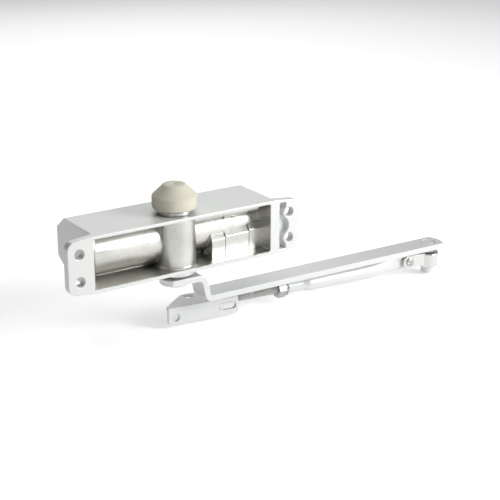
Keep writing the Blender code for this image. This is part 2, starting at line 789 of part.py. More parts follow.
def rack_outline(low, high):
    """Rack teeth facing the pinion, with a tooth space centred on the pinion at rest."""
    pitch = math.pi * GEAR_MODULE
    tip = GEAR_ADDENDUM
    root = GEAR_DEDENDUM
    slope = math.tan(PRESSURE_ANGLE)
    half = (pitch / 2 - MESH_BACKLASH) / 2
    root_y = RACK_PITCH_Y + root
    first = math.ceil((low - PINION_X) / pitch - 0.5)
    points = [(low, root_y + OVERLAP), (high, root_y + OVERLAP), (high, root_y)]
    teeth = []
    while PINION_X + (first + 0.5) * pitch + half + root * slope < high:
        middle = PINION_X + (first + 0.5) * pitch
        if middle - half - root * slope > low:
            teeth += [
                (middle - half - root * slope, root_y),
                (middle - half + tip * slope, RACK_PITCH_Y - tip),
                (middle + half - tip * slope, RACK_PITCH_Y - tip),
                (middle + half + root * slope, root_y),
            ]
        first += 1
    return points + list(reversed(teeth)) + [(low, root_y)]


def make_piston(look):
    """The piston, with a rack milled into its front that clears the pinion over the whole stroke."""
    reach = GEAR_TIP_RADIUS + 2 * GAP
    low = PINION_X - reach
    high = PINION_X + reach + PISTON_TRAVEL
    radius = BORE_RADIUS - RUNNING
    piston = lathe(
        "piston",
        [
            (0, low - PISTON_HEAD),
            (radius - 2 * GAP, low - PISTON_HEAD),
            (radius, low - PISTON_HEAD + 2 * GAP),
            (radius, high + PISTON_HEAD - 2 * GAP),
            (radius - 2 * GAP, high + PISTON_HEAD),
            (0, high + PISTON_HEAD),
        ],
        SEGMENTS_LARGE,
        "X",
        look,
    )
    piston.location = (0, BORE_AXIS_Y, 0)
    root_y = RACK_PITCH_Y + GEAR_DEDENDUM - BORE_AXIS_Y
    cut(
        piston,
        block("milling", (low, -2 * BORE_RADIUS, -2 * BORE_RADIUS), (high, root_y, 2 * BORE_RADIUS)),
    )
    teeth = [(x, y - BORE_AXIS_Y) for x, y in rack_outline(low + GAP, high - GAP)]
    join(piston, prism("rack", teeth, -RACK_HALF_HEIGHT, RACK_HALF_HEIGHT, "Z"))
    valve_depth = PISTON_HEAD / 2
    cut(
        piston,
        prism(
            "valve_seat",
            circle(0, 0, VALVE_RADIUS + GAP, SEGMENTS_HOLE),
            high + PISTON_HEAD - valve_depth - GAP,
            high + PISTON_HEAD + OVERLAP,
            "X",
        ),
    )
    return piston


def make_check_valve(piston, look):
    face = PINION_X + GEAR_TIP_RADIUS + 2 * GAP + PISTON_TRAVEL + PISTON_HEAD
    depth = PISTON_HEAD / 2
    valve = lathe(
        "check_valve",
        [
            (VALVE_RADIUS / 3, face - depth),
            (VALVE_RADIUS, face - depth),
            (VALVE_RADIUS, face - GAP),
            (VALVE_RADIUS / 2, face - GAP),
            (VALVE_RADIUS / 3, face - VALVE_RADIUS / 2),
        ],
        SEGMENTS_HOLE,
        "X",
        look,
    )
    return attach(valve, piston)


def make_spring(look):
    """A closed-end coil between the bore's blind end and the piston."""
    rest = PINION_X - GEAR_TIP_RADIUS - 2 * GAP - PISTON_HEAD
    low = BLIND_X + GAP + SPRING_WIRE + 2 * GAP
    high = rest - SPRING_WIRE - GAP
    coil_radius = BORE_RADIUS - SPRING_WIRE - 4 * GAP
    around = 6
    per_turn = 16
    steps = SPRING_COILS * per_turn
    bm = bmesh.new()
    rings = []
    for i in range(steps + 1):
        turn = 2 * math.pi * i / per_turn
        outward = Vector((0, math.cos(turn), math.sin(turn)))
        centre = outward * coil_radius + Vector((low + (high - low) * i / steps, 0, 0))
        ring = []
        for k in range(around):
            angle = 2 * math.pi * k / around
            offset = outward * (SPRING_WIRE * math.cos(angle)) + Vector((SPRING_WIRE * math.sin(angle), 0, 0))
            ring.append(bm.verts.new(centre + offset))
        rings.append(ring)
    for first, second in zip(rings, rings[1:]):
        for k in range(around):
            m = (k + 1) % around
            bm.faces.new((first[k], first[m], second[m], second[k]))
    bm.faces.new(rings[0])
    bm.faces.new(list(reversed(rings[-1])))
    spring = finish("main_spring", bm, look)
    spring.location = (0, BORE_AXIS_Y, 0)
    return spring


def make_end_plug(look, rubber):
    """The threaded plug that closes the bore, with a hexagon socket outside and a groove for its ring."""
    radius = BORE_RADIUS - GAP / 2
    groove_low = PLUG_INNER_X + PLUG_LENGTH / 3
    groove_high = groove_low + ORING_WIDTH
    plug = lathe(
        "end_plug",
        [
            (0, PLUG_INNER_X),
            (radius, PLUG_INNER_X),
            (radius, groove_low - GAP),
            (radius - ORING_DEPTH - GAP, groove_low - GAP),
            (radius - ORING_DEPTH - GAP, groove_high + GAP),
            (radius, groove_high + GAP),
            (radius, HALF_LENGTH - GAP),
            (0, HALF_LENGTH - GAP),
        ],
        SEGMENTS_LARGE,
        "X",
        look,
    )
    plug.location = (0, BORE_AXIS_Y, 0)
    socket_floor = HALF_LENGTH - PLUG_LENGTH / 2
    socket = prism("socket", hexagon(0, 0, PLUG_SOCKET_FLATS), socket_floor, HALF_LENGTH + OVERLAP, "X")
    cut(plug, socket)
    ring = lathe(
        "end_plug_oring",
        [
            (radius - ORING_DEPTH, groove_low),
            (radius - GAP / 4, groove_low),
            (radius - GAP / 4, groove_high),
            (radius - ORING_DEPTH, groove_high),
        ],
        SEGMENTS_MEDIUM,
        "X",
        rubber,
    )
    attach(ring, plug)
    return plug


def make_valve(name, y, z, look, rubber):
    """A slotted regulating screw in the right end face, sealed by its own ring."""
    inner = HALF_LENGTH - VALVE_LENGTH
    groove_low = HALF_LENGTH - VALVE_LENGTH / 2
    groove_high = groove_low + ORING_WIDTH / 2
    waist = VALVE_RADIUS - ORING_DEPTH / 2
    screw = lathe(
        name,
        [
            (0, inner - OVERLAP / 2),
            (VALVE_RADIUS / 2, inner + OVERLAP),
            (VALVE_RADIUS, inner + 2 * OVERLAP),
            (VALVE_RADIUS, groove_low - GAP),
            (waist - GAP, groove_low - GAP),
            (waist - GAP, groove_high + GAP),
            (VALVE_RADIUS, groove_high + GAP),
            (VALVE_RADIUS, HALF_LENGTH - GAP),
            (0, HALF_LENGTH - GAP),
        ],
        SEGMENTS_HOLE,
        "X",
        look,
    )
    screw.location = (0, y, z)
    slot = VALVE_RADIUS / 5
    cut(
        screw,
        block(
            "slot",
            (HALF_LENGTH - 2 * slot, -slot, -2 * VALVE_RADIUS),
            (HALF_LENGTH + OVERLAP, slot, 2 * VALVE_RADIUS),
        ),
    )
    ring = lathe(
        f"{name}_oring",
        [
            (waist, groove_low),
            (VALVE_RADIUS + GAP / 4, groove_low),
            (VALVE_RADIUS + GAP / 4, groove_high),
            (waist, groove_high),
        ],
        SEGMENTS_HOLE,
        "X",
        rubber,
    )
    attach(ring, screw)
    return screw


def arm_side_outline():
    """The arm's strip seen from the side: flat hub, joggle down, long bar."""
    half = ARM_THICKNESS / 2
    hub = HUB_TOP_Z - half
    bar = BAR_TOP_Z - half
    start = -HUB_NOSE - OVERLAP
    end = ARM_LENGTH + ARM_TIP + OVERLAP
    run = Vector((JOGGLE_BOTTOM_S - JOGGLE_TOP_S, bar - hub))
    normal = Vector((-run.y, run.x)).normalized() * half
    tilt = (math.pi / 2 - math.atan2(-run.y, run.x)) / 2
    lean = half * math.tan(math.pi / 4 - tilt)
    upper = [
        (start, hub + half, 0),
        (JOGGLE_TOP_S + lean, hub + half, JOGGLE_TOP_RADIUS + half),
        (JOGGLE_BOTTOM_S + lean, bar + half, JOGGLE_BOTTOM_RADIUS - half),
        (end, bar + half, 0),
    ]
    lower = [
        (end, bar - half, 0),
        (JOGGLE_BOTTOM_S - lean, bar - half, JOGGLE_BOTTOM_RADIUS + half),
        (JOGGLE_TOP_S - lean, hub - half, JOGGLE_TOP_RADIUS - half),
        (start, hub - half, 0),
    ]
    return rounded(upper + lower, steps=6)


def make_main_arm(pinion, look):
    half = ARM_WIDTH / 2
    nose = arc_end(-HUB_NOSE, -HUB_NOSE_CORNER, half)
    tip = arc_end(ARM_LENGTH + ARM_TIP, ARM_LENGTH + ARM_TIP_CORNER, half)
    arm = prism("main_arm", arm_side_outline(), -half - OVERLAP, half + OVERLAP, "Y", look)
    attach(arm, pinion, turn=ARM_ANGLE)
    plan = prism("plan", tip + list(reversed(nose)), BAR_BOTTOM_Z - OVERLAP, HUB_TOP_Z + OVERLAP, "Z")
    combine(arm, plan, "INTERSECT")
    head = BAR_TOP_Z - RIVET_HEAD_DEPTH
    cut(
        arm,
        prism("drive_hole", square(SQUARE_SIDE + GAP), HUB_BOTTOM_Z - OVERLAP, HUB_TOP_Z + OVERLAP, "Z"),
        lathe(
            "rivet_hole",
            [
                (0, BAR_BOTTOM_Z - OVERLAP),
                (RIVET_RADIUS + GAP / 2, BAR_BOTTOM_Z - OVERLAP),
                (RIVET_RADIUS + GAP / 2, head - GAP / 2),
                (RIVET_HEAD_RADIUS + GAP / 2, head - GAP / 2),
                (RIVET_HEAD_RADIUS + 2 * GAP, BAR_TOP_Z + GAP),
                (0, BAR_TOP_Z + GAP),
            ],
            SEGMENTS_SMALL,
        ),
    )
    arm.modifiers[-1].object.location = (ARM_LENGTH, 0, 0)
    return arm


def make_arm_screw(pinion, look):
    """The low screw and washer head that keep the hub on the pinion's lower square."""
    low = HUB_BOTTOM_Z - GAP - ARM_SCREW_HEAD
    screw = lathe(
        "arm_screw",
        [
            (0, low),
            (ARM_SCREW_RADIUS - GAP, low),
            (ARM_SCREW_RADIUS, low + GAP),
            (ARM_SCREW_RADIUS, low + ARM_SCREW_HEAD),
            (ARM_SCREW_SHANK, low + ARM_SCREW_HEAD),
            (ARM_SCREW_SHANK, low + ARM_SCREW_HEAD + ARM_SCREW_LENGTH),
            (0, low + ARM_SCREW_HEAD + ARM_SCREW_LENGTH),
        ],
        SEGMENTS_SMALL,
        "Z",
        look,
    )
    attach(screw, pinion)
    socket = hexagon(0, 0, ARM_SCREW_SOCKET_FLATS)
    cut(screw, prism("socket", socket, low - OVERLAP, low + ARM_SCREW_SOCKET_DEPTH, "Z"))
    return screw


def make_elbow_rivet(arm, look):
    head = BAR_TOP_Z - RIVET_HEAD_DEPTH
    stub = KNUCKLE_BOTTOM_Z - GAP
    low = stub - RIVET_STUB_HEIGHT
    bevel = RIVET_STUB_BEVEL
    rivet = lathe(
        "elbow_rivet",
        [
            (0, low),
            (RIVET_STUB_RADIUS - 2 * bevel, low),
            (RIVET_STUB_RADIUS, low + bevel),
            (RIVET_STUB_RADIUS, stub),
            (RIVET_RADIUS, stub),
            (RIVET_RADIUS, head),
            (RIVET_HEAD_RADIUS, head),
            (RIVET_HEAD_RADIUS, BAR_TOP_Z - GAP),
            (RIVET_HEAD_RADIUS - 2 * GAP, BAR_TOP_Z),
            (0, BAR_TOP_Z),
        ],
        SEGMENTS_SMALL,
        "Z",
        look,
    )
    return attach(rivet, arm, (ARM_LENGTH, 0, 0))


def make_elbow_washer(arm, look):
    high = BAR_BOTTOM_Z - GAP
    low = high - WASHER_THICKNESS
    inner = RIVET_RADIUS + GAP
    washer = lathe(
        "elbow_washer",
        [(inner, low), (WASHER_RADIUS, low), (WASHER_RADIUS, high), (inner, high)],
        SEGMENTS_SMALL,
        "Z",
        look,
    )
    return attach(washer, arm, (ARM_LENGTH, 0, 0))


def make_knuckle(arm, look):
    """The swivel at the elbow: a barrel on the rivet, and two cheeks that take the forearm's tongue."""
    bevel = 2 * GAP
    inner = RIVET_RADIUS + RUNNING
    low = KNUCKLE_BOTTOM_Z
    high = KNUCKLE_TOP_Z
    knuckle = lathe(
        "elbow_knuckle",
        [
            (inner, low),
            (KNUCKLE_RADIUS - bevel, low),
            (KNUCKLE_RADIUS, low + bevel),
            (KNUCKLE_RADIUS, high - bevel),
            (KNUCKLE_RADIUS - bevel, high),
            (inner, high),
        ],
        SEGMENTS_MEDIUM,
        "Z",
        look,
    )
    attach(knuckle, arm, (ARM_LENGTH, 0, 0), FOREARM_ANGLE)
    half = CHEEK_HEIGHT / 2
    inside = CHEEK_GAP / 2
    start = WASHER_RADIUS + 2 * GAP
    corners = [
        (start, HINGE_Z - half, 0),
        (CHEEK_END, HINGE_Z - half, CHEEK_ROUND),
        (CHEEK_END, HINGE_Z + half, CHEEK_ROUND),
        (start, HINGE_Z + half, 0),
    ]
    outline = rounded(corners, steps=6)
    for side in (-1, 1):
        join(
            knuckle,
            prism("cheek", outline, side * inside, side * (inside + CHEEK_THICKNESS), "Y"),
        )
        hole = prism(
            "cheek_hole",
            circle(HINGE_S, HINGE_Z, HINGE_RADIUS + RUNNING, SEGMENTS_HOLE),
            side * (inside - OVERLAP),
            side * (inside + CHEEK_THICKNESS + OVERLAP),
            "Y",
        )
        cut(knuckle, hole)
    return knuckle


def make_hinge_screw(knuckle, look):
    """The cross-headed screw that joins the cheeks to the forearm, with its head on the visible side."""
    face = CHEEK_GAP / 2 + CHEEK_THICKNESS
    tail = face + HINGE_NUT_THICKNESS + 2 * GAP
    screw = lathe(
        "hinge_screw",
        [
            (0, -tail),
            (HINGE_RADIUS, -tail),
            (HINGE_RADIUS, face + GAP / 2),
            (HINGE_HEAD_RADIUS, face + GAP / 2),
            (HINGE_HEAD_RADIUS, face + GAP / 2 + HINGE_HEAD_EDGE),
            (HINGE_CROWN_RADIUS, face + HINGE_HEAD_HEIGHT),
            (0, face + HINGE_HEAD_HEIGHT),
        ],
        SEGMENTS_HOLE,
        "Y",
        look,
    )
    attach(screw, knuckle, (HINGE_S, 0, HINGE_Z))
    top = face + HINGE_HEAD_HEIGHT
    low = top - CROSS_DEPTH
    high = top + OVERLAP
    reach = HINGE_CROWN_RADIUS
    half = CROSS_SLOT / 2
    cut(
        screw,
        block("cross", (-reach, low, -half), (reach, high, half)),
        block("cross", (-half, low, -reach), (half, high, reach)),
    )
    return screw


def make_hinge_nut(knuckle, look):
    face = CHEEK_GAP / 2 + CHEEK_THICKNESS + GAP / 2
    outline = hexagon(HINGE_S, HINGE_Z, HINGE_NUT_FLATS)
    nut = prism("hinge_nut", outline, -face - HINGE_NUT_THICKNESS, -face, "Y", look)
    attach(nut, knuckle)
    cut(
        nut,
        prism(
            "thread",
            circle(HINGE_S, HINGE_Z, HINGE_RADIUS + GAP / 2, SEGMENTS_HOLE),
            -face - HINGE_NUT_THICKNESS - OVERLAP,
            -face + OVERLAP,
            "Y",
        ),
    )
    return nut


def stadium(half_width, half_height, steps):
    """Points of an oval ring whose roundness fades as it is pressed flat."""
    turns = [2 * math.pi * i / steps for i in range(steps)]
    square_off = 1 - FLAT_SQUARENESS * (1 - min(half_width, half_height) / max(half_width, half_height))
    points = []
    for t in turns:
        c = math.cos(t)
        s = math.sin(t)
        a = half_width * math.copysign(abs(c) ** square_off, c)
        b = half_height * math.copysign(abs(s) ** square_off, s)
        points.append((a, b))
    return points


def make_forearm_tube(knuckle, look):
    """A steel tube, pressed flat at one end for the hinge and swaged down to a neck at the other."""
    steps = SEGMENTS_SMALL
    half_thin = TONGUE_THICKNESS / 2
    half_tall = TONGUE_HEIGHT / 2
    tongue_start = HINGE_S - half_tall
    middle = (FLAT_START_S + FLAT_END_S) / 2
    neck = NECK_RADIUS
    taper = TUBE_TAPER_END_S
    between = (TUBE_OUTER + neck) / 2 + NECK_SWELL
    spread = (TUBE_OUTER - half_thin) / 2
    grown = (TUBE_OUTER - half_tall) / 2
    stations = [
        (tongue_start, half_thin, TONGUE_TIP_HALF, 0),
        (tongue_start + TONGUE_ROUND, half_thin, TONGUE_ROUND_HALF, 0),
        (HINGE_S, half_thin, half_tall, TONGUE_DROP),
        (FLAT_START_S, half_thin, half_tall, TONGUE_DROP),
        (middle, half_thin + spread, half_tall + grown, (TUBE_DROP + TONGUE_DROP) / 2),
        (FLAT_END_S, TUBE_OUTER, TUBE_OUTER, TUBE_DROP),
        (TUBE_STRAIGHT_END_S, TUBE_OUTER, TUBE_OUTER, TUBE_DROP),
        ((TUBE_STRAIGHT_END_S + taper) / 2, between, between, TUBE_DROP),
        (taper, neck, neck, TUBE_DROP),
        (NECK_END_S - GAP, neck, neck, TUBE_DROP),
    ]
    bm = bmesh.new()
    rings = []
    for s, thin, tall, drop in stations:
        rings.append([bm.verts.new((s - HINGE_S, a, b - drop)) for a, b in stadium(thin, tall, steps)])
    for first, second in zip(rings, rings[1:]):
        for k in range(steps):
            m = (k + 1) % steps
            bm.faces.new((first[k], first[m], second[m], second[k]))
    bm.faces.new(rings[0])
    bm.faces.new(list(reversed(rings[-1])))
    tube = finish("forearm_tube", bm, look)
    attach(tube, knuckle, (HINGE_S, 0, HINGE_Z))
    bore = ROD_RADIUS + GAP
    cut(
        tube,
        lathe(
            "rod_bore",
            [
                (0, FLAT_END_S - HINGE_S),
                (TUBE_INNER, FLAT_END_S + TUBE_INNER - HINGE_S),
                (TUBE_INNER, TUBE_STRAIGHT_END_S - HINGE_S),
                (bore, taper - HINGE_S),
                (bore, NECK_END_S + OVERLAP - HINGE_S),
                (0, NECK_END_S + OVERLAP - HINGE_S),
            ],
            SEGMENTS_HOLE,
            "X",
        ),
        prism(
            "hinge_hole",
            circle(0, 0, HINGE_RADIUS + RUNNING, SEGMENTS_HOLE),
            -TUBE_OUTER,
            TUBE_OUTER,
            "Y",
        ),
    )
    tube.modifiers[0].object.location = (0, 0, -TUBE_DROP)
    return tube


def make_lock_parts(tube, steel):
    """The toothed washer and hexagon nut that lock the rod against the tube's neck."""
    inner = ROD_RADIUS + GAP
    start = NECK_END_S + GAP - HINGE_S
    end = start + LOCK_WASHER_THICKNESS
    washer = lathe(
        "lock_washer",
        [(inner, start), (LOCK_WASHER_RADIUS, start), (LOCK_WASHER_RADIUS, end), (inner, end)],
        SEGMENTS_SMALL,
        "X",
        steel,
    )
    attach(washer, tube, (0, 0, -TUBE_DROP))
    low = end + GAP
    high = low + LOCK_NUT_THICKNESS
    nut = prism("lock_nut", hexagon(0, 0, LOCK_NUT_FLATS), low, high, "X", steel)
    attach(nut, tube, (0, 0, -TUBE_DROP))
    reach = LOCK_NUT_FLATS / math.sqrt(3)
    flats = LOCK_NUT_FLATS / 2
    drop = LOCK_NUT_CHAMFER
    combine(
        nut,
        lathe(
            "nut_chamfer",
            [
                (0, low - OVERLAP / 10),
                (flats, low - OVERLAP / 10),
                (reach + OVERLAP / 10, low + drop),
                (reach + OVERLAP / 10, high - drop),
                (flats, high + OVERLAP / 10),
                (0, high + OVERLAP / 10),
            ],
            SEGMENTS_SMALL,
            "X",
        ),
        "INTERSECT",
    )
    cut(nut, prism("thread", circle(0, 0, inner, SEGMENTS_HOLE), low - OVERLAP, high + OVERLAP, "X"))
    return washer, nut


def make_rod(tube, look):
    """The threaded rod: full thread from the nut, then a flattened eye for the bracket rivet."""
    start = ROD_START_S - HINGE_S
    nut_end = NECK_END_S + LOCK_WASHER_THICKNESS + LOCK_NUT_THICKNESS + 3 * GAP - HINGE_S
    pivot = BRACKET_PIVOT_S - HINGE_S
    thread_end = pivot - EYE_NECK_LENGTH
    core = ROD_RADIUS - ROD_THREAD_PITCH / 4
    profile = [(0, start), (core, start)]
    profile += [(ROD_RADIUS, start + OVERLAP), (ROD_RADIUS, nut_end - OVERLAP)]
    ridges = int((thread_end - nut_end) / (2 * ROD_THREAD_PITCH))
    step = (thread_end - nut_end) / ridges
    for k in range(ridges):
        profile.append((core, nut_end + (k + 0.5) * step))
        profile.append((ROD_RADIUS, nut_end + (k + 1) * step))
    profile.append((0, thread_end))
    rod = lathe("threaded_rod", profile, 12, "X", look)
    attach(rod, tube, (0, 0, -TUBE_DROP))
    low = -EYE_DROP - EYE_THICKNESS / 2
    high = low + EYE_THICKNESS
    wide = EYE_NECK_HALF_WIDTH
    eye = prism("eye", circle(pivot, 0, EYE_RADIUS, SEGMENTS_SMALL), low, high, "Z")
    neck = block("eye_neck", (thread_end - OVERLAP, -wide, low + GAP / 3), (pivot, wide, high - GAP / 3))
    join(rod, eye, neck)
    cut(
        rod,
        prism(
            "eye_hole",
            circle(pivot, 0, BRACKET_RIVET_RADIUS + RUNNING, SEGMENTS_HOLE),
            low - OVERLAP,
            high + OVERLAP,
            "Z",
        ),
    )
    return rod


def make_foot_bracket(rod, look):
    """An angle bracket: a plate with a hole and a slot for screws, and a flange over the rod's eye."""
    flange_low = EYE_THICKNESS / 2 + GAP - EYE_DROP
    top = flange_low + BRACKET_THICKNESS
    low = top - BRACKET_HEIGHT
    left = -BRACKET_PIVOT_ALONG
    right = left + BRACKET_LENGTH
    front = -BRACKET_PIVOT_AWAY
    back = front + BRACKET_THICKNESS
    slant_start = BRACKET_THICKNESS * 2
    far = front + FLANGE_DEPTH
    plate = rounded(
        [
            (left, low, PLATE_CORNER),
            (right, low, PLATE_CORNER),
            (right, top, FOLD_CORNER),
            (left, top, FOLD_CORNER),
        ]
    )
    bracket = prism("foot_bracket", plate, front, back, "Y", look)
    attach(bracket, rod, (BRACKET_PIVOT_S - HINGE_S, 0, 0), BRACKET_PLATE_TURN - FOREARM_ANGLE)
    flange = [
        (left + FOLD_CORNER, front + GAP),
        (left + FOLD_CORNER, front + slant_start),
        (left + FLANGE_SLANT, far),
        (right - FLANGE_SLANT, far),
        (right - FOLD_CORNER, front + slant_start),
        (right - FOLD_CORNER, front + GAP),
    ]
    join(bracket, prism("flange", flange, flange_low, top - GAP / 3, "Z"))
    slot_z = top - SLOT_DROP
    slot_half = SLOT_HEIGHT / 2
    slot = rounded(
        [
            (left + SLOT_START, slot_z - slot_half, SLOT_ROUND),
            (left + SLOT_END, slot_z - slot_half, SLOT_ROUND),
            (left + SLOT_END, slot_z + slot_half, SLOT_ROUND),
            (left + SLOT_START, slot_z + slot_half, SLOT_ROUND),
        ]
    )
    hole = circle(left + BRACKET_HOLE_ALONG, top - BRACKET_HOLE_DROP, BRACKET_HOLE_RADIUS, SEGMENTS_HOLE)
    flange_spot = (left + FLANGE_HOLE_ALONG, front + FLANGE_HOLE_AWAY)
    flange_hole = circle(*flange_spot, FLANGE_HOLE_RADIUS, SEGMENTS_HOLE)
    cut(
        bracket,
        prism("slot", slot, front - OVERLAP, back + OVERLAP, "Y"),
        prism("hole", hole, front - OVERLAP, back + OVERLAP, "Y"),
        prism("flange_hole", flange_hole, flange_low - OVERLAP, top + OVERLAP, "Z"),
        prism(
            "rivet_hole",
            circle(0, 0, BRACKET_RIVET_RADIUS + GAP, SEGMENTS_HOLE),
            flange_low - OVERLAP,
            top + OVERLAP,
            "Z",
        ),
    )
    return bracket


def make_bracket_rivet(rod, look):
    top = EYE_THICKNESS / 2 + GAP + BRACKET_THICKNESS + GAP - EYE_DROP
    low = -EYE_THICKNESS / 2 - GAP - EYE_DROP
    rivet = lathe(
        "bracket_rivet",
        [
            (0, low - BRACKET_RIVET_HEAD),
            (BRACKET_RIVET_HEAD_RADIUS, low - BRACKET_RIVET_HEAD),
            (BRACKET_RIVET_HEAD_RADIUS, low),
            (BRACKET_RIVET_RADIUS, low),
            (BRACKET_RIVET_RADIUS, top),
            (BRACKET_RIVET_HEAD_RADIUS, top),
            (BRACKET_RIVET_HEAD_RADIUS, top + BRACKET_RIVET_HEAD / 2),
            (BRACKET_RIVET_RADIUS, top + BRACKET_RIVET_HEAD),
            (0, top + BRACKET_RIVET_HEAD),
        ],
        SEGMENTS_HOLE,
        "Z",
        look,
    )
    return attach(rivet, rod, (BRACKET_PIVOT_S - HINGE_S, 0, 0))


def main():
    for old in list(bpy.data.objects):
        bpy.data.objects.remove(old)
    paint = material("silver_paint", *SILVER_PAINT)
    plastic = material("cap_plastic", *CAP_PLASTIC)
    steel = material("zinc_steel", *ZINC_STEEL)
    dark_steel = material("machined_steel", *MACHINED_STEEL)
    brass = material("valve_brass", *VALVE_BRASS)
    rubber = material("seal_rubber", *SEAL_RUBBER)
    make_housing(paint)
    pinion = make_pinion(dark_steel)
    make_bearings(steel)
    make_seals(rubber)
    make_bearing_nut("upper_bearing_nut", 1, UPPER_NUT_RADIUS, UPPER_NUT_FLANGE, steel)
    make_bearing_nut("lower_bearing_nut", -1, LOWER_NUT_RADIUS, LOWER_NUT_FLANGE, steel)
    make_cap(pinion, plastic)
    piston = make_piston(dark_steel)
    make_check_valve(piston, brass)
    make_spring(dark_steel)
    make_end_plug(steel, rubber)
    make_valve("closing_valve", CLOSING_VALVE_Y, CLOSING_VALVE_Z, brass, rubber)
    make_valve("latching_valve", LATCHING_VALVE_Y, LATCHING_VALVE_Z, brass, rubber)
    arm = make_main_arm(pinion, paint)
    make_arm_screw(pinion, steel)
    make_elbow_rivet(arm, steel)
    make_elbow_washer(arm, steel)
    knuckle = make_knuckle(arm, steel)
    make_hinge_screw(knuckle, steel)
    make_hinge_nut(knuckle, steel)
    tube = make_forearm_tube(knuckle, paint)
    make_lock_parts(tube, steel)
    rod = make_rod(tube, steel)
    make_foot_bracket(rod, paint)
    make_bracket_rivet(rod, steel)


main()
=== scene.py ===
"""Looks for an overhead door closer: cast body, capped pinion, flat main arm and folded rod forearm."""

import json
import math

import bmesh
import bpy
from bpy.props import FloatProperty, FloatVectorProperty, IntProperty, PointerProperty
from mathutils import Matrix, Vector


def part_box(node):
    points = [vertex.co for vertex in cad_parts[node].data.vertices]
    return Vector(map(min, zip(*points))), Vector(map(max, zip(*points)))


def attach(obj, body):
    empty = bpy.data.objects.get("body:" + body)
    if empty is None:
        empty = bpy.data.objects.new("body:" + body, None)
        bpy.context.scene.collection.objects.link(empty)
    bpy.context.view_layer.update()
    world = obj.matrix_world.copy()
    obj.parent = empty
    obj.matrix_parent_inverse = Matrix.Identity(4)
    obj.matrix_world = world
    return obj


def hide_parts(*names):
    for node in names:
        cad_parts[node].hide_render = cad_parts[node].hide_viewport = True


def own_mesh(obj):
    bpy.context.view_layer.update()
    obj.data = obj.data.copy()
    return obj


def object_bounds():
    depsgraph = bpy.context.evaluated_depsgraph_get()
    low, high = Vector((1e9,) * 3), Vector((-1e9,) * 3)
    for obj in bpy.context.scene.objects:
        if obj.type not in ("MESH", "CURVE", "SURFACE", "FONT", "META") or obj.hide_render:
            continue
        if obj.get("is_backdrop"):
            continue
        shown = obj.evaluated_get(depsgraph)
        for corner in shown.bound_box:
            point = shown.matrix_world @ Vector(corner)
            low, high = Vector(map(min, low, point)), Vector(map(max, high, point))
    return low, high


bl_info = {
    "name": "Door closer looks",
    "version": (1, 0, 0),
    "blender": (4, 5, 0),
    "location": "3D View > Sidebar > Door closer",
    "description": "Builds the visible pieces and finishes of a door closer around its packed frame",
    "category": "Object",
}

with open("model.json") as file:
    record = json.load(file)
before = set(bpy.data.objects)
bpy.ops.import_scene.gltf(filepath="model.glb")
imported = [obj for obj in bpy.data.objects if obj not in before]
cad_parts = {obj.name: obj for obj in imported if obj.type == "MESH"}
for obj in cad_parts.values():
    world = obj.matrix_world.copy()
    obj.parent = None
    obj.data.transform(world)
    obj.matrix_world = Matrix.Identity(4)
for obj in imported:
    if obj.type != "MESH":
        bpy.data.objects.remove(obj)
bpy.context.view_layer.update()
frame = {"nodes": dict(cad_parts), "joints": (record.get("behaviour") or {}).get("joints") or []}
NODES = frame["nodes"]
JOINTS = {joint["name"]: joint for joint in frame["joints"]}

# Stage
FLOOR_GAP = 0.0002
FLOOR_HALF = 4.0
FLOOR_WHITE = 0.93
FLOOR_ROUGHNESS = 0.8
SOFT_LIGHTS = (  # name, place, side length, and the setting that holds its power
    ("front_softbox", (0.95, -1.05, 0.55), 0.7, "key"),
    ("top_softbox", (0.10, -0.05, 1.30), 1.2, "top"),
    ("left_softbox", (-1.00, -0.95, 0.50), 0.6, "fill"),
    ("back_softbox", (0.50, 1.10, 0.75), 1.0, "back"),
)
CAMERA_PLACE = (-0.4298, -0.7158, 0.2915)
CAMERA_AIM = (0.04913, 0, -0.01277)
CAMERA_ROLL = math.radians(0.11)
CAMERA_LENS = 93.94
CAMERA_SENSOR = 36
CAMERA_NEAR = 0.05
CAMERA_FAR = 20

# Grain of every finish: fine spots mixed with broad patches
FINE_DETAIL = 4
BROAD_DETAIL = 3
BROAD_SPREAD = 28  # how many times wider the broad patches are than the fine spots
BROAD_SHARE = 0.45
TINT_FROM = 0.35
TINT_TO = 0.65
SHEEN_FROM = 0.3
SHEEN_TO = 0.7
SMOOTHEST = 0.05
GRAIN_HEIGHT = 0.0002

# Rounding of edges
SMALL = 1e-6
DISSOLVE_ANGLE = math.radians(1.0)
SHARP_ANGLE = math.radians(34)
BEVEL_ANGLE = math.radians(28)
SHARED_ROOM = 0.42  # most of a side that a rounding takes where the far end is rounded too
WHOLE_ROOM = 0.85  # most of a side that it takes where the far end isn't
WIDEST_EDGE = 0.002

# The pocket that opens in the front of the casting, from the mounting plane inwards
POCKET_LEFT = -0.0722
POCKET_RIGHT = 0.0667
POCKET_LOW = -0.0172
POCKET_HIGH = 0.0176
POCKET_BACK = 0.0400
POCKET_FRONT = 0.0004
INSIDE_FRONT = 0.0050  # edges deeper than this are rounded INSIDE_SOFTER times as wide
INSIDE_SOFTER = 2.4

# Cap: heights as shares of its height, and the rest as shares of its radius
CAP_FOOT_SHARE = 0.072
CAP_BAND_SHARE = 0.557
CAP_CROWN_SHARE = 0.48
CAP_WALL_SHARE = 0.115
CAP_SOFT_SHARE = 0.05
CAP_POINTS = 96
# Steps in the cap's foot and crown, in units of its edge softness
FOOT_STEP_INNER = 1.6
FOOT_STEP_OUTER = 1.2
CROWN_DROP = 0.9
DIMPLE_DEPTH = 1.15
# The moulding dimple in the crown, as shares of the crown's radius
DIMPLE_RIM = 0.24
DIMPLE_EDGE = 0.19
DIMPLE_FLOOR = 0.12

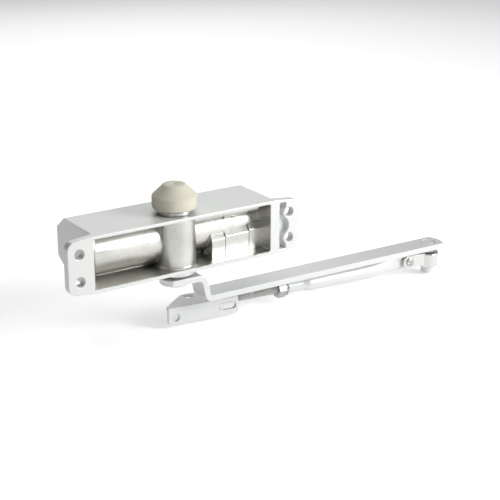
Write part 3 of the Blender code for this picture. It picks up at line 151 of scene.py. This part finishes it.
# Forearm tube, as distances from the tilt hinge along the tube
FLAT_END = 0.0085
ROUND_START = 0.0395
TAPER_START = 0.0900
TAPER_END = 0.0965
TONGUE_HALF_WIDTH = 0.0025
TONGUE_HALF_HEIGHT = 0.0056
TONGUE_DROP = 0.0004
TONGUE_NOSE = ((0.0, 0.35), (0.0006, 0.62), (0.0020, 0.88), (0.0042, 1.0))  # from the tip, share of height
CORNER_SQUARENESS = 0.5
PRESS_STEPS = 14
SWAGE_STEPS = 8
NECK_SHARE = 0.78
NECK_BORE_SHARE = 0.84
NECK_BORE_DEPTH = 0.0140
NECK_LIP = 0.0003

# Toothed lock washer, as shares of its outer radius and of the gap it fills
WASHER_HOLE_SHARE = 0.64
TOOTH_ROOT_SHARE = 0.88
WASHER_THICK_SHARE = 0.70
TOOTH_TWIST_SHARE = 0.15
TOOTH_BENDS = (0, 1, -1, 0)  # the four points of a tooth: root, twisted corner, twisted corner, root

# Threaded rod
ROD_RADIUS = 0.0039
RINGS_A_PITCH = 6
THREAD_RUN_IN = 0.0020
THREAD_RUN_OUT = 0.0006
THREAD_CREST_SHARE = 0.12
THREAD_FLANK_SHARE = 0.72
EYE_NECK_LENGTH = 0.0188
EYE_NECK_SHARE = 0.8
EYE_NECK_OVERLAP = 0.001
EYE_SHOULDER = 0.45
EYE_ARC = math.pi * 0.62
EYE_STEPS = 24
EYE_LOW = -0.0023
EYE_HIGH = 0.0007


class CloserSizes(bpy.types.PropertyGroup):
    casting_edge: FloatProperty(
        name="Casting edge",
        description="Softness of the casting's edges",
        default=0.00045,
        unit="LENGTH",
    )
    strip_edge: FloatProperty(
        name="Strip edge",
        description="Softness of the sheared steel edges",
        default=0.00040,
        unit="LENGTH",
    )
    hardware_edge: FloatProperty(
        name="Hardware edge",
        description="Softness of turned and pressed hardware",
        default=0.00022,
        unit="LENGTH",
    )
    thread_pitch: FloatProperty(
        name="Thread pitch", description="Pitch of the rod's thread", default=0.00125, unit="LENGTH"
    )
    thread_depth: FloatProperty(
        name="Thread depth", description="Depth of the rod's thread", default=0.00055, unit="LENGTH"
    )
    thread_sides: IntProperty(name="Thread sides", description="Points round one turn of thread", default=28)
    tube_sides: IntProperty(name="Tube sides", description="Points round the forearm tube", default=56)
    washer_teeth: IntProperty(name="Washer teeth", description="Teeth on the lock washer", default=14)


class CloserColours(bpy.types.PropertyGroup):
    paint: FloatVectorProperty(
        name="Paint",
        description="Silver paint",
        subtype="COLOR",
        size=3,
        default=(0.80, 0.80, 0.79),
    )
    # Darker than the paint: partly the casting's own tone, partly painted shade for the deep pocket
    casting: FloatVectorProperty(
        name="Casting",
        description="Thinly coated casting inside the pocket",
        subtype="COLOR",
        size=3,
        default=(0.56, 0.555, 0.525),
    )
    plastic: FloatVectorProperty(
        name="Plastic",
        description="Warm grey cap",
        subtype="COLOR",
        size=3,
        default=(0.50, 0.475, 0.39),
    )
    zinc: FloatVectorProperty(
        name="Zinc",
        description="Bright zinc plating",
        subtype="COLOR",
        size=3,
        default=(0.62, 0.62, 0.61),
    )
    dull: FloatVectorProperty(
        name="Dull zinc",
        description="Zinc plating on the rod, the nuts and the cross-headed screw",
        subtype="COLOR",
        size=3,
        default=(0.44, 0.44, 0.43),
    )
    machined: FloatVectorProperty(
        name="Machined steel",
        description="Oiled machined steel",
        subtype="COLOR",
        size=3,
        default=(0.30, 0.30, 0.31),
    )
    brass: FloatVectorProperty(
        name="Brass",
        description="Turned brass",
        subtype="COLOR",
        size=3,
        default=(0.62, 0.47, 0.22),
    )
    rubber: FloatVectorProperty(
        name="Rubber",
        description="Seal rubber",
        subtype="COLOR",
        size=3,
        default=(0.02, 0.02, 0.02),
    )


class CloserLight(bpy.types.PropertyGroup):
    sky: FloatProperty(name="Sky", description="Brightness of the surrounding white", default=0.07)
    key: FloatProperty(
        name="Key", description="Power of the soft front light", default=23.0, unit="POWER"
    )
    top: FloatProperty(
        name="Top", description="Power of the soft overhead light", default=8.5, unit="POWER"
    )
    fill: FloatProperty(
        name="Fill", description="Power of the soft light at the left", default=2.0, unit="POWER"
    )
    back: FloatProperty(
        name="Back", description="Power of the soft light behind", default=4.8, unit="POWER"
    )
    floor_glow: FloatProperty(name="Floor glow", description="Evens out the white floor", default=0.30)


def sizes():
    return bpy.context.scene.closer_sizes


def colours():
    return bpy.context.scene.closer_colours


# Finishes


def grain_noise(tree, place, scale, detail):
    """Noise over the piece's own coordinates; scale is its spots per metre."""
    noise = tree.nodes.new("ShaderNodeTexNoise")
    noise.inputs["Scale"].default_value = scale
    noise.inputs["Detail"].default_value = detail
    tree.links.new(place.outputs["Object"], noise.inputs["Vector"])
    return noise


def finish_named(name, colour, metallic, roughness, grain, variation, bump, rough_spread):
    """A finish with grain in its colour, roughness and surface; grain is the fine spots per metre."""
    made = bpy.data.materials.get(name)
    if made:
        return made
    made = bpy.data.materials.new(name)
    made.use_nodes = True
    tree = made.node_tree
    shader = tree.nodes["Principled BSDF"]
    shader.inputs["Metallic"].default_value = metallic
    place = tree.nodes.new("ShaderNodeTexCoord")
    fine = grain_noise(tree, place, grain, FINE_DETAIL)
    broad = grain_noise(tree, place, grain / BROAD_SPREAD, BROAD_DETAIL)
    together = tree.nodes.new("ShaderNodeMix")
    together.data_type = "FLOAT"
    together.inputs["Factor"].default_value = BROAD_SHARE
    tree.links.new(fine.outputs["Fac"], together.inputs["A"])
    tree.links.new(broad.outputs["Fac"], together.inputs["B"])
    ramp = tree.nodes.new("ShaderNodeValToRGB")
    dark, light = ramp.color_ramp.elements
    dark.position = TINT_FROM
    light.position = TINT_TO
    dark.color = (*[c * (1 - variation) for c in colour], 1)
    light.color = (*[min(1, c * (1 + variation)) for c in colour], 1)
    tree.links.new(together.outputs["Result"], ramp.inputs["Fac"])
    tree.links.new(ramp.outputs["Color"], shader.inputs["Base Color"])
    spread = tree.nodes.new("ShaderNodeMapRange")
    spread.inputs["From Min"].default_value = SHEEN_FROM
    spread.inputs["From Max"].default_value = SHEEN_TO
    spread.inputs["To Min"].default_value = max(SMOOTHEST, roughness - rough_spread)
    spread.inputs["To Max"].default_value = min(1, roughness + rough_spread)
    tree.links.new(together.outputs["Result"], spread.inputs["Value"])
    tree.links.new(spread.outputs["Result"], shader.inputs["Roughness"])
    raised = tree.nodes.new("ShaderNodeBump")
    raised.inputs["Strength"].default_value = bump
    raised.inputs["Distance"].default_value = GRAIN_HEIGHT
    tree.links.new(fine.outputs["Fac"], raised.inputs["Height"])
    tree.links.new(raised.outputs["Normal"], shader.inputs["Normal"])
    return made


def silver_paint():
    return finish_named(
        "silver_paint", colours().paint,
        metallic=0.40, roughness=0.40, grain=4200, variation=0.05, bump=0.08, rough_spread=0.05,
    )


# Coat for the pocket's faces: a rougher casting whose darker colour is partly painted shade
def pocket_casting():
    return finish_named(
        "pocket_casting", colours().casting,
        metallic=1.0, roughness=0.33, grain=1300, variation=0.16, bump=0.10, rough_spread=0.09,
    )


def cap_plastic():
    return finish_named(
        "cap_plastic", colours().plastic,
        metallic=0.0, roughness=0.42, grain=2200, variation=0.04, bump=0.08, rough_spread=0.05,
    )


def bright_zinc():
    return finish_named(
        "bright_zinc", colours().zinc,
        metallic=0.85, roughness=0.25, grain=5200, variation=0.04, bump=0.03, rough_spread=0.04,
    )


def dull_zinc():
    return finish_named(
        "dull_zinc", colours().dull,
        metallic=0.90, roughness=0.34, grain=4800, variation=0.08, bump=0.06, rough_spread=0.06,
    )


def machined_steel():
    return finish_named(
        "machined_steel", colours().machined,
        metallic=1.0, roughness=0.33, grain=1400, variation=0.08, bump=0.08, rough_spread=0.06,
    )


def turned_brass():
    return finish_named(
        "turned_brass", colours().brass,
        metallic=1.0, roughness=0.30, grain=1500, variation=0.06, bump=0.06, rough_spread=0.05,
    )


def seal_rubber():
    return finish_named(
        "seal_rubber", colours().rubber,
        metallic=0.0, roughness=0.70, grain=1500, variation=0.20, bump=0.10, rough_spread=0.08,
    )


def coat(obj, *looks):
    obj.data.materials.clear()
    for look in looks:
        obj.data.materials.append(look)


# Mesh makers


def placed(name, bm, matrix=None):
    """Turns a bmesh into an object whose place is in its mesh, smooth with sharp edges kept."""
    bmesh.ops.recalc_face_normals(bm, faces=bm.faces)
    mesh = bpy.data.meshes.new(name)
    if matrix:
        bm.transform(matrix)
    bm.to_mesh(mesh)
    bm.free()
    made = bpy.data.objects.new(name, mesh)
    bpy.context.scene.collection.objects.link(made)
    mesh.shade_smooth()
    mesh.set_sharp_from_angle(angle=SHARP_ANGLE)
    return made


def turned(bm, profile, segments, spot):
    """Adds a solid turned about Z to a bmesh, from (radius, height) points; radius 0 closes an end."""
    base = Vector(spot)
    rings = []
    for radius, height in profile:
        count = 1 if radius == 0 else segments
        turns = [2 * math.pi * i / segments for i in range(count)]
        points = [Vector((radius * math.cos(t), radius * math.sin(t), height)) for t in turns]
        rings.append([bm.verts.new(base + point) for point in points])
    for first, second in zip(rings, rings[1:]):
        for i in range(segments):
            j = (i + 1) % segments
            near = (first[i % len(first)], first[j % len(first)])
            far = (second[j % len(second)], second[i % len(second)])
            distinct = list(dict.fromkeys(near + far))
            if len(distinct) > 2:
                bm.faces.new(distinct)


def skinned(bm, rings, sides):
    """Joins each ring to the next and closes both ends."""
    for first, second in zip(rings, rings[1:]):
        for i in range(sides):
            j = (i + 1) % sides
            bm.faces.new((first[i], first[j], second[j], second[i]))
    bm.faces.new(rings[0])
    bm.faces.new(rings[-1])


def eased(share):
    """A share from 0 to 1 that starts and ends slowly."""
    return share * share * (3 - 2 * share)


def drawn_out(bm, outline, low, high):
    """Adds an (x, y) outline drawn out in z to a bmesh."""
    near = [bm.verts.new((a, b, low)) for a, b in outline]
    far = [bm.verts.new((a, b, high)) for a, b in outline]
    bm.faces.new(near)
    bm.faces.new(list(reversed(far)))
    for i in range(len(outline)):
        j = (i + 1) % len(outline)
        bm.faces.new((near[j], near[i], far[i], far[j]))


def room_beside(edge):
    """How wide a rounding the edge can take before it meets the next edge in either of its faces."""
    room = 1.0
    for loop in edge.link_loops:
        for beside in (loop.link_loop_prev.edge, loop.link_loop_next.edge):
            sharp = len(beside.link_faces) == 2 and beside.calc_face_angle() > BEVEL_ANGLE
            room = min(room, beside.calc_length() * (SHARED_ROOM if sharp else WHOLE_ROOM))
    return room


def softened_copy(node, name, width, segments=3, wider=None):
    """A copy of a node's mesh with its flats made whole and its edges rounded, standing in for the node."""
    bm = bmesh.new()
    bm.from_mesh(NODES[node].data)
    bmesh.ops.remove_doubles(bm, verts=bm.verts, dist=SMALL)
    bmesh.ops.dissolve_limit(bm, angle_limit=DISSOLVE_ANGLE, verts=bm.verts, edges=bm.edges)
    weights = bm.edges.layers.float.new("bevel_weight_edge")
    for edge in bm.edges:
        if len(edge.link_faces) != 2 or edge.calc_face_angle() < BEVEL_ANGLE:
            continue
        middle = (edge.verts[0].co + edge.verts[1].co) / 2
        wanted = width * (wider(middle) if wider else 1)
        edge[weights] = min(wanted, room_beside(edge)) / WIDEST_EDGE
    made = placed(name, bm)
    bevel = made.modifiers.new("edges", "BEVEL")
    bevel.width = WIDEST_EDGE
    bevel.segments = segments
    bevel.limit_method = "WEIGHT"
    bevel.use_clamp_overlap = False
    bevel.miter_outer = "MITER_ARC"
    weighted = made.modifiers.new("flats", "WEIGHTED_NORMAL")
    weighted.keep_sharp = True
    return made


def stand_for(piece, node, body, slot, *looks):
    coat(piece, *looks)
    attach(piece, body)
    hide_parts(node)
    return piece


def forearm_frame():
    """A matrix whose origin is on the tube's axis below the tilt hinge, with X along the tube to the foot."""
    hinge = JOINTS["forearm_tilt"]
    along = Vector(JOINTS["rod_adjust"]["axis"]).normalized()
    up = Vector((0, 0, 1))
    side = up.cross(along)
    low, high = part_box("lock_washer")
    origin = Vector(hinge["pos_m"])
    origin.z = (low[2] + high[2]) / 2
    turn = Matrix((along, side, up)).transposed().to_4x4()
    return Matrix.Translation(origin) @ turn


def along_tube(node, matrix):
    """The nearest and furthest distances of a node from the tilt hinge, along the tube."""
    back = matrix.inverted()
    reach = [(back @ v.co).x for v in NODES[node].data.vertices]
    return min(reach), max(reach)


# Pieces


class CLOSER_OT_stage(bpy.types.Operator):
    """Add the white floor, the soft lights and the camera"""

    bl_idname = "closer.stage"
    bl_label = "Stage"

    def execute(self, context):
        light = context.scene.closer_light
        low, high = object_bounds()
        centre = (Vector(low) + Vector(high)) / 2
        bm = bmesh.new()
        middle = Vector((centre.x, centre.y, low[2] - FLOOR_GAP))
        corners = ((-1, -1, 0), (1, -1, 0), (1, 1, 0), (-1, 1, 0))
        bm.faces.new([bm.verts.new(middle + FLOOR_HALF * Vector(corner)) for corner in corners])
        floor = placed("floor", bm)
        white = bpy.data.materials.new("white_floor")
        white.use_nodes = True
        shader = white.node_tree.nodes["Principled BSDF"]
        shader.inputs["Base Color"].default_value = (FLOOR_WHITE, FLOOR_WHITE, FLOOR_WHITE, 1)
        shader.inputs["Roughness"].default_value = FLOOR_ROUGHNESS
        shader.inputs["Emission Color"].default_value = (1, 1, 1, 1)
        shader.inputs["Emission Strength"].default_value = light.floor_glow
        coat(floor, white)
        floor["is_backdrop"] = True
        world = bpy.data.worlds.new("white_surround")
        world.use_nodes = True
        sky = world.node_tree.nodes["Background"]
        sky.inputs["Color"].default_value = (1, 1, 1, 1)
        sky.inputs["Strength"].default_value = light.sky
        context.scene.world = world
        for name, spot, size, setting in SOFT_LIGHTS:
            self.add_light(name, spot, centre, size, getattr(light, setting))
        self.add_camera(context)
        context.scene.view_settings.view_transform = "Standard"
        return {"FINISHED"}

    def add_light(self, name, spot, aim, size, power):
        lamp = bpy.data.lights.new(name, "AREA")
        lamp.size = size
        lamp.energy = power
        made = bpy.data.objects.new(name, lamp)
        made.location = spot
        made.rotation_euler = (aim - Vector(spot)).to_track_quat("-Z", "Y").to_euler()
        bpy.context.scene.collection.objects.link(made)

    def add_camera(self, context):
        place = Vector(CAMERA_PLACE)
        data = bpy.data.cameras.new("camera")
        data.sensor_width = CAMERA_SENSOR
        data.lens = CAMERA_LENS
        data.clip_start = CAMERA_NEAR
        data.clip_end = CAMERA_FAR
        made = bpy.data.objects.new("camera", data)
        aimed = (Vector(CAMERA_AIM) - place).to_track_quat("-Z", "Y").to_matrix().to_4x4()
        made.matrix_world = Matrix.Translation(place) @ aimed @ Matrix.Rotation(CAMERA_ROLL, 4, "Z")
        context.scene.collection.objects.link(made)
        context.scene.camera = made


class CLOSER_OT_housing(bpy.types.Operator):
    """Round the casting's edges and give its pocket a rougher, darker coat than its outside, the darkness
    partly the casting's own tone and partly painted shade
    """

    bl_idname = "closer.housing"
    bl_label = "Housing casting"

    def execute(self, context):
        casting = softened_copy("housing", "housing_casting", sizes().casting_edge, 3, self.wider_inside)
        stand_for(casting, "housing", "body", "silver_paint", silver_paint(), pocket_casting())
        # Faces inside the pocket take the second, darker coat, which is partly painted shade
        for face in casting.data.polygons:
            x, y, z = face.center
            inside = POCKET_LEFT < x < POCKET_RIGHT and POCKET_LOW < z < POCKET_HIGH
            if inside and POCKET_FRONT < y < POCKET_BACK:
                face.material_index = 1
        return {"FINISHED"}

    def wider_inside(self, spot):
        """Edges well inside the pocket are cast softer than the machined front."""
        inside = POCKET_LEFT < spot.x < POCKET_RIGHT and POCKET_LOW < spot.z < POCKET_HIGH
        return INSIDE_SOFTER if inside and INSIDE_FRONT < spot.y < POCKET_BACK else 1


class CLOSER_OT_pinion_stack(bpy.types.Operator):
    """Add the moulded cap and finish the bearing nuts and the pinion"""

    bl_idname = "closer.pinion_stack"
    bl_label = "Pinion stack"

    def execute(self, context):
        self.make_cap()
        for node, name in (("upper_bearing_nut", "upper_nut_ring"), ("lower_bearing_nut", "lower_nut_ring")):
            ring = softened_copy(node, name, sizes().hardware_edge)
            stand_for(ring, node, "body", "zinc_steel", bright_zinc())
        coat(NODES["pinion"], machined_steel())
        return {"FINISHED"}

    def make_cap(self):
        """A hollow moulding with a stepped foot, a straight band, a cone and a flat crown with a dimple."""
        low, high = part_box("pinion_cap")
        base = low[2]
        top = high[2]
        radius = (high[0] - low[0]) / 2
        middle = ((low[0] + high[0]) / 2, (low[1] + high[1]) / 2, 0)
        foot = base + (top - base) * CAP_FOOT_SHARE
        band = base + (top - base) * CAP_BAND_SHARE
        crown = radius * CAP_CROWN_SHARE
        wall = radius * CAP_WALL_SHARE
        soft = radius * CAP_SOFT_SHARE
        profile = [
            (0, top - 2 * wall),
            (crown - wall, top - 2 * wall),
            (radius - wall, band - wall),
            (radius - wall, base + soft / 4),
            (radius - wall + soft / 4, base),
            (radius - FOOT_STEP_INNER * soft, base),
            (radius - FOOT_STEP_OUTER * soft, base + soft / 6),
            (radius - soft / 4, foot - soft / 6),
            (radius - soft / 12, foot + soft / 6),
            (radius, foot + soft / 2),
            (radius, band - soft),
            (radius - soft / 8, band - soft / 2),
            (radius - soft / 2, band),
            (radius - soft, band + soft / 2),
            (crown + soft, top - CROWN_DROP * soft),
            (crown + soft / 3, top - soft / 4),
            (crown - soft / 2, top),
            (crown * DIMPLE_RIM, top),
            (crown * DIMPLE_EDGE, top - soft / 5),
            (crown * DIMPLE_FLOOR, top - soft),
            (0, top - DIMPLE_DEPTH * soft),
        ]
        bm = bmesh.new()
        turned(bm, profile, CAP_POINTS, middle)
        cap = placed("cap_moulding", bm)
        stand_for(cap, "pinion_cap", "pinion_and_arm", "cap_plastic", cap_plastic())


class CLOSER_OT_main_arm(bpy.types.Operator):
    """Round the sheared edges of the main arm and finish the screw that holds it"""

    bl_idname = "closer.main_arm"
    bl_label = "Main arm"

    def execute(self, context):
        strip = softened_copy("main_arm", "main_arm_strip", sizes().strip_edge)
        stand_for(strip, "main_arm", "pinion_and_arm", "silver_paint", silver_paint())
        screw = softened_copy("arm_screw", "arm_screw_head", sizes().hardware_edge)
        stand_for(screw, "arm_screw", "pinion_and_arm", "zinc_steel", bright_zinc())
        return {"FINISHED"}


class CLOSER_OT_elbow(bpy.types.Operator):
    """Build the rivet, washer, knuckle and cross-headed hinge screw at the elbow"""

    bl_idname = "closer.elbow"
    bl_label = "Elbow"

    def execute(self, context):
        pieces = (
            ("elbow_rivet", "elbow_rivet_pin", "pinion_and_arm", silver_paint),
            ("elbow_washer", "elbow_spacer", "pinion_and_arm", machined_steel),
            ("elbow_knuckle", "knuckle_casting", "knuckle", bright_zinc),
            ("hinge_screw", "hinge_cross_screw", "knuckle", dull_zinc),
            ("hinge_nut", "hinge_hex_nut", "knuckle", dull_zinc),
        )
        for node, name, body, look in pieces:
            piece = softened_copy(node, name, sizes().hardware_edge)
            stand_for(piece, node, body, "zinc_steel", look())
        return {"FINISHED"}


class CLOSER_OT_forearm(bpy.types.Operator):
    """Build the swaged tube, the toothed washer, the nut and the threaded rod"""

    bl_idname = "closer.forearm"
    bl_label = "Forearm"

    def execute(self, context):
        self.matrix = forearm_frame()
        self.make_tube()
        self.make_washer()
        nut = softened_copy("lock_nut", "lock_hex_nut", sizes().hardware_edge / 2, 2)
        stand_for(nut, "lock_nut", "forearm", "zinc_steel", dull_zinc())
        self.make_rod()
        return {"FINISHED"}

    def make_tube(self):
        """A loft that goes from a pressed tongue to a round tube and down to a neck, open at the neck."""
        sides = sizes().tube_sides
        low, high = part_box("lock_washer")
        hinge_z = JOINTS["forearm_tilt"]["pos_m"][2]
        lift = hinge_z - (low[2] + high[2]) / 2 - TONGUE_DROP
        start, end = along_tube("forearm_tube", self.matrix)
        round_radius = self.tube_radius()
        neck = NECK_SHARE * round_radius
        bore = neck * NECK_BORE_SHARE
        stations = [(start + back, 0.0, share) for back, share in TONGUE_NOSE]
        stations.append((FLAT_END, 0.0, 1.0))
        for k in range(1, PRESS_STEPS + 1):
            part = k / PRESS_STEPS
            stations.append((FLAT_END + (ROUND_START - FLAT_END) * part, eased(part), 1.0))
        bm = bmesh.new()
        rings = []
        for s, roundness, share in stations:
            wide = TONGUE_HALF_WIDTH + (round_radius - TONGUE_HALF_WIDTH) * roundness
            tall = (TONGUE_HALF_HEIGHT + (round_radius - TONGUE_HALF_HEIGHT) * roundness) * share
            rings.append(self.pressed_ring(bm, s, wide, tall, lift * (1 - roundness), sides))
        for k in range(SWAGE_STEPS + 1):
            part = k / SWAGE_STEPS
            radius = round_radius + (neck - round_radius) * eased(part)
            rings.append(self.round_ring(bm, TAPER_START + (TAPER_END - TAPER_START) * part, radius, sides))
        rings.append(self.round_ring(bm, end - NECK_LIP, neck, sides))
        rings.append(self.round_ring(bm, end, neck - NECK_LIP, sides))
        rings.append(self.round_ring(bm, end, bore, sides))
        rings.append(self.round_ring(bm, end - NECK_BORE_DEPTH, bore, sides))
        skinned(bm, rings, sides)
        tube = placed("forearm_swaged_tube", bm, self.matrix)
        stand_for(tube, "forearm_tube", "forearm", "silver_paint", silver_paint())

    def tube_radius(self):
        back = self.matrix.inverted()
        return max(abs((back @ v.co).y) for v in NODES["forearm_tube"].data.vertices)

    def pressed_ring(self, bm, s, wide, tall, lift, sides):
        """One ring round the tube: flatter rings are squarer at their corners."""
        flatness = 1 - min(wide, tall) / max(wide, tall)
        power = 1 - CORNER_SQUARENESS * flatness
        ring = []
        for i in range(sides):
            turn = 2 * math.pi * i / sides
            across = math.cos(turn)
            above = math.sin(turn)
            y = wide * math.copysign(abs(across) ** power, across)
            z = tall * math.copysign(abs(above) ** power, above)
            ring.append(bm.verts.new((s, y, z + lift)))
        return ring

    def round_ring(self, bm, s, radius, sides):
        turns = [2 * math.pi * i / sides for i in range(sides)]
        return [bm.verts.new((s, radius * math.cos(t), radius * math.sin(t))) for t in turns]

    def make_washer(self):
        """A lock washer with teeth round its rim, each tooth twisted a little out of flat."""
        start, end = along_tube("lock_washer", self.matrix)
        low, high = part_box("lock_washer")
        outer = (high[2] - low[2]) / 2
        root = outer * TOOTH_ROOT_SHARE
        inner = outer * WASHER_HOLE_SHARE
        thick = (end - start) * WASHER_THICK_SHARE
        twist = (end - start) * TOOTH_TWIST_SHARE
        count = sizes().washer_teeth * len(TOOTH_BENDS)
        bm = bmesh.new()
        sides = []
        for face_s in (start + twist, start + twist + thick):
            side = []
            for i in range(count):
                turn = 2 * math.pi * i / count
                bend = TOOTH_BENDS[i % len(TOOTH_BENDS)]
                radius = outer if bend else root
                rim = (face_s + twist * bend, radius * math.cos(turn), radius * math.sin(turn))
                hole = (face_s, inner * math.cos(turn), inner * math.sin(turn))
                side.append((bm.verts.new(rim), bm.verts.new(hole)))
            sides.append(side)
        near, far = sides
        for i in range(count):
            j = (i + 1) % count
            for side in sides:
                bm.faces.new((side[i][0], side[j][0], side[j][1], side[i][1]))
            for edge in (0, 1):
                bm.faces.new((near[i][edge], near[j][edge], far[j][edge], far[i][edge]))
        washer = placed("toothed_washer", bm, self.matrix)
        stand_for(washer, "lock_washer", "forearm", "zinc_steel", machined_steel())

    def make_rod(self):
        """The rod: a helical thread from the nut to the foot, then a flattened neck and a round eye."""
        start, end = along_tube("threaded_rod", self.matrix)
        pivot = Vector(JOINTS["bracket_swing"]["pos_m"])
        eye = (self.matrix.inverted() @ pivot).x
        thread_end = eye - EYE_NECK_LENGTH
        nut_start = along_tube("lock_nut", self.matrix)[0]
        bm = bmesh.new()
        self.add_thread(bm, start, nut_start, thread_end)
        half = ROD_RADIUS * EYE_NECK_SHARE
        reach = end - eye
        neck = thread_end - EYE_NECK_OVERLAP
        shoulder = eye - reach * EYE_SHOULDER
        outline = [(neck, -half), (shoulder, -half)]
        for k in range(EYE_STEPS + 1):
            turn = EYE_ARC * (2 * k / EYE_STEPS - 1)
            outline.append((eye + reach * math.cos(turn), reach * math.sin(turn)))
        outline += [(shoulder, half), (neck, half)]
        drawn_out(bm, outline, EYE_LOW, EYE_HIGH)
        rod = placed("rod_with_thread", bm, self.matrix)
        stand_for(rod, "threaded_rod", "rod", "zinc_steel", dull_zinc())

    def add_thread(self, bm, start, nut_start, thread_end):
        """A plain end inside the tube, and then a thread whose ridge climbs one pitch in each turn."""
        pitch = sizes().thread_pitch
        depth = sizes().thread_depth
        sides = sizes().thread_sides
        root = ROD_RADIUS - depth
        rings = [
            self.round_ring(bm, start, root, sides),
            self.round_ring(bm, nut_start - THREAD_RUN_IN, root, sides),
        ]
        count = int((thread_end - nut_start) / pitch * RINGS_A_PITCH)
        for k in range(count + 1):
            s = nut_start + (thread_end - THREAD_RUN_OUT - nut_start) * k / count
            ring = []
            for i in range(sides):
                climb = (s / pitch - i / sides) % 1.0
                below_crest = (abs(2 * climb - 1) - THREAD_CREST_SHARE) / THREAD_FLANK_SHARE
                radius = ROD_RADIUS - depth * min(1, max(0, below_crest))
                turn = 2 * math.pi * i / sides
                ring.append(bm.verts.new((s, radius * math.cos(turn), radius * math.sin(turn))))
            rings.append(ring)
        rings.append(self.round_ring(bm, thread_end, root, sides))
        skinned(bm, rings, sides)


class CLOSER_OT_foot(bpy.types.Operator):
    """Round the edges of the foot bracket and finish its rivet"""

    bl_idname = "closer.foot"
    bl_label = "Foot bracket"

    def execute(self, context):
        bracket = softened_copy("foot_bracket", "foot_angle", sizes().strip_edge)
        stand_for(bracket, "foot_bracket", "foot", "silver_paint", silver_paint())
        rivet = softened_copy("bracket_rivet", "foot_rivet", sizes().hardware_edge)
        stand_for(rivet, "bracket_rivet", "rod", "zinc_steel", bright_zinc())
        return {"FINISHED"}


class CLOSER_OT_inner_parts(bpy.types.Operator):
    """Finish the piston, spring, valves, plug, bearings and seals"""

    bl_idname = "closer.inner_parts"
    bl_label = "Inner parts"

    def execute(self, context):
        self.make_spring()
        groups = (
            (machined_steel, ("piston",)),
            (bright_zinc, ("upper_bearing", "lower_bearing", "end_plug")),
            (turned_brass, ("check_valve", "closing_valve", "latching_valve")),
            (seal_rubber, ("upper_seal", "lower_seal", "end_plug_oring")),
            (seal_rubber, ("closing_valve_oring", "latching_valve_oring")),
        )
        for look, nodes in groups:
            for node in nodes:
                coat(NODES[node], look())
        return {"FINISHED"}

    def make_spring(self):
        """The spring between the left end wall and the piston, a fixed copy of its packed mesh that does not
        shorten with the piston.
        """
        bm = bmesh.new()
        bm.from_mesh(NODES["main_spring"].data)
        spring = placed("return_spring", bm)
        stand_for(spring, "main_spring", "body", "machined_steel", machined_steel())
        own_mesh(spring)


class CLOSER_PT_panel(bpy.types.Panel):
    """Door closer pieces"""

    bl_label = "Door closer"
    bl_idname = "CLOSER_PT_panel"
    bl_space_type = "VIEW_3D"
    bl_region_type = "UI"
    bl_category = "Door closer"

    def draw(self, context):
        scene = context.scene
        for group in (scene.closer_sizes, scene.closer_colours, scene.closer_light):
            for name in group.__annotations__:
                self.layout.prop(group, name)
        for operator in OPERATORS:
            self.layout.operator(operator.bl_idname)


GROUPS = (CloserSizes, CloserColours, CloserLight)
OPERATORS = (
    CLOSER_OT_stage,
    CLOSER_OT_housing,
    CLOSER_OT_pinion_stack,
    CLOSER_OT_main_arm,
    CLOSER_OT_elbow,
    CLOSER_OT_forearm,
    CLOSER_OT_foot,
    CLOSER_OT_inner_parts,
)


def register():
    for kind in GROUPS + OPERATORS + (CLOSER_PT_panel,):
        bpy.utils.register_class(kind)
    bpy.types.Scene.closer_sizes = PointerProperty(type=CloserSizes)
    bpy.types.Scene.closer_colours = PointerProperty(type=CloserColours)
    bpy.types.Scene.closer_light = PointerProperty(type=CloserLight)


def unregister():
    del bpy.types.Scene.closer_light
    del bpy.types.Scene.closer_colours
    del bpy.types.Scene.closer_sizes
    for kind in reversed(GROUPS + OPERATORS + (CLOSER_PT_panel,)):
        bpy.utils.unregister_class(kind)


def main():
    register()
    for operator in OPERATORS:
        group, name = operator.bl_idname.split(".")
        getattr(getattr(bpy.ops, group), name)()
    bpy.context.view_layer.update()


if __name__ == "__main__":
    main()
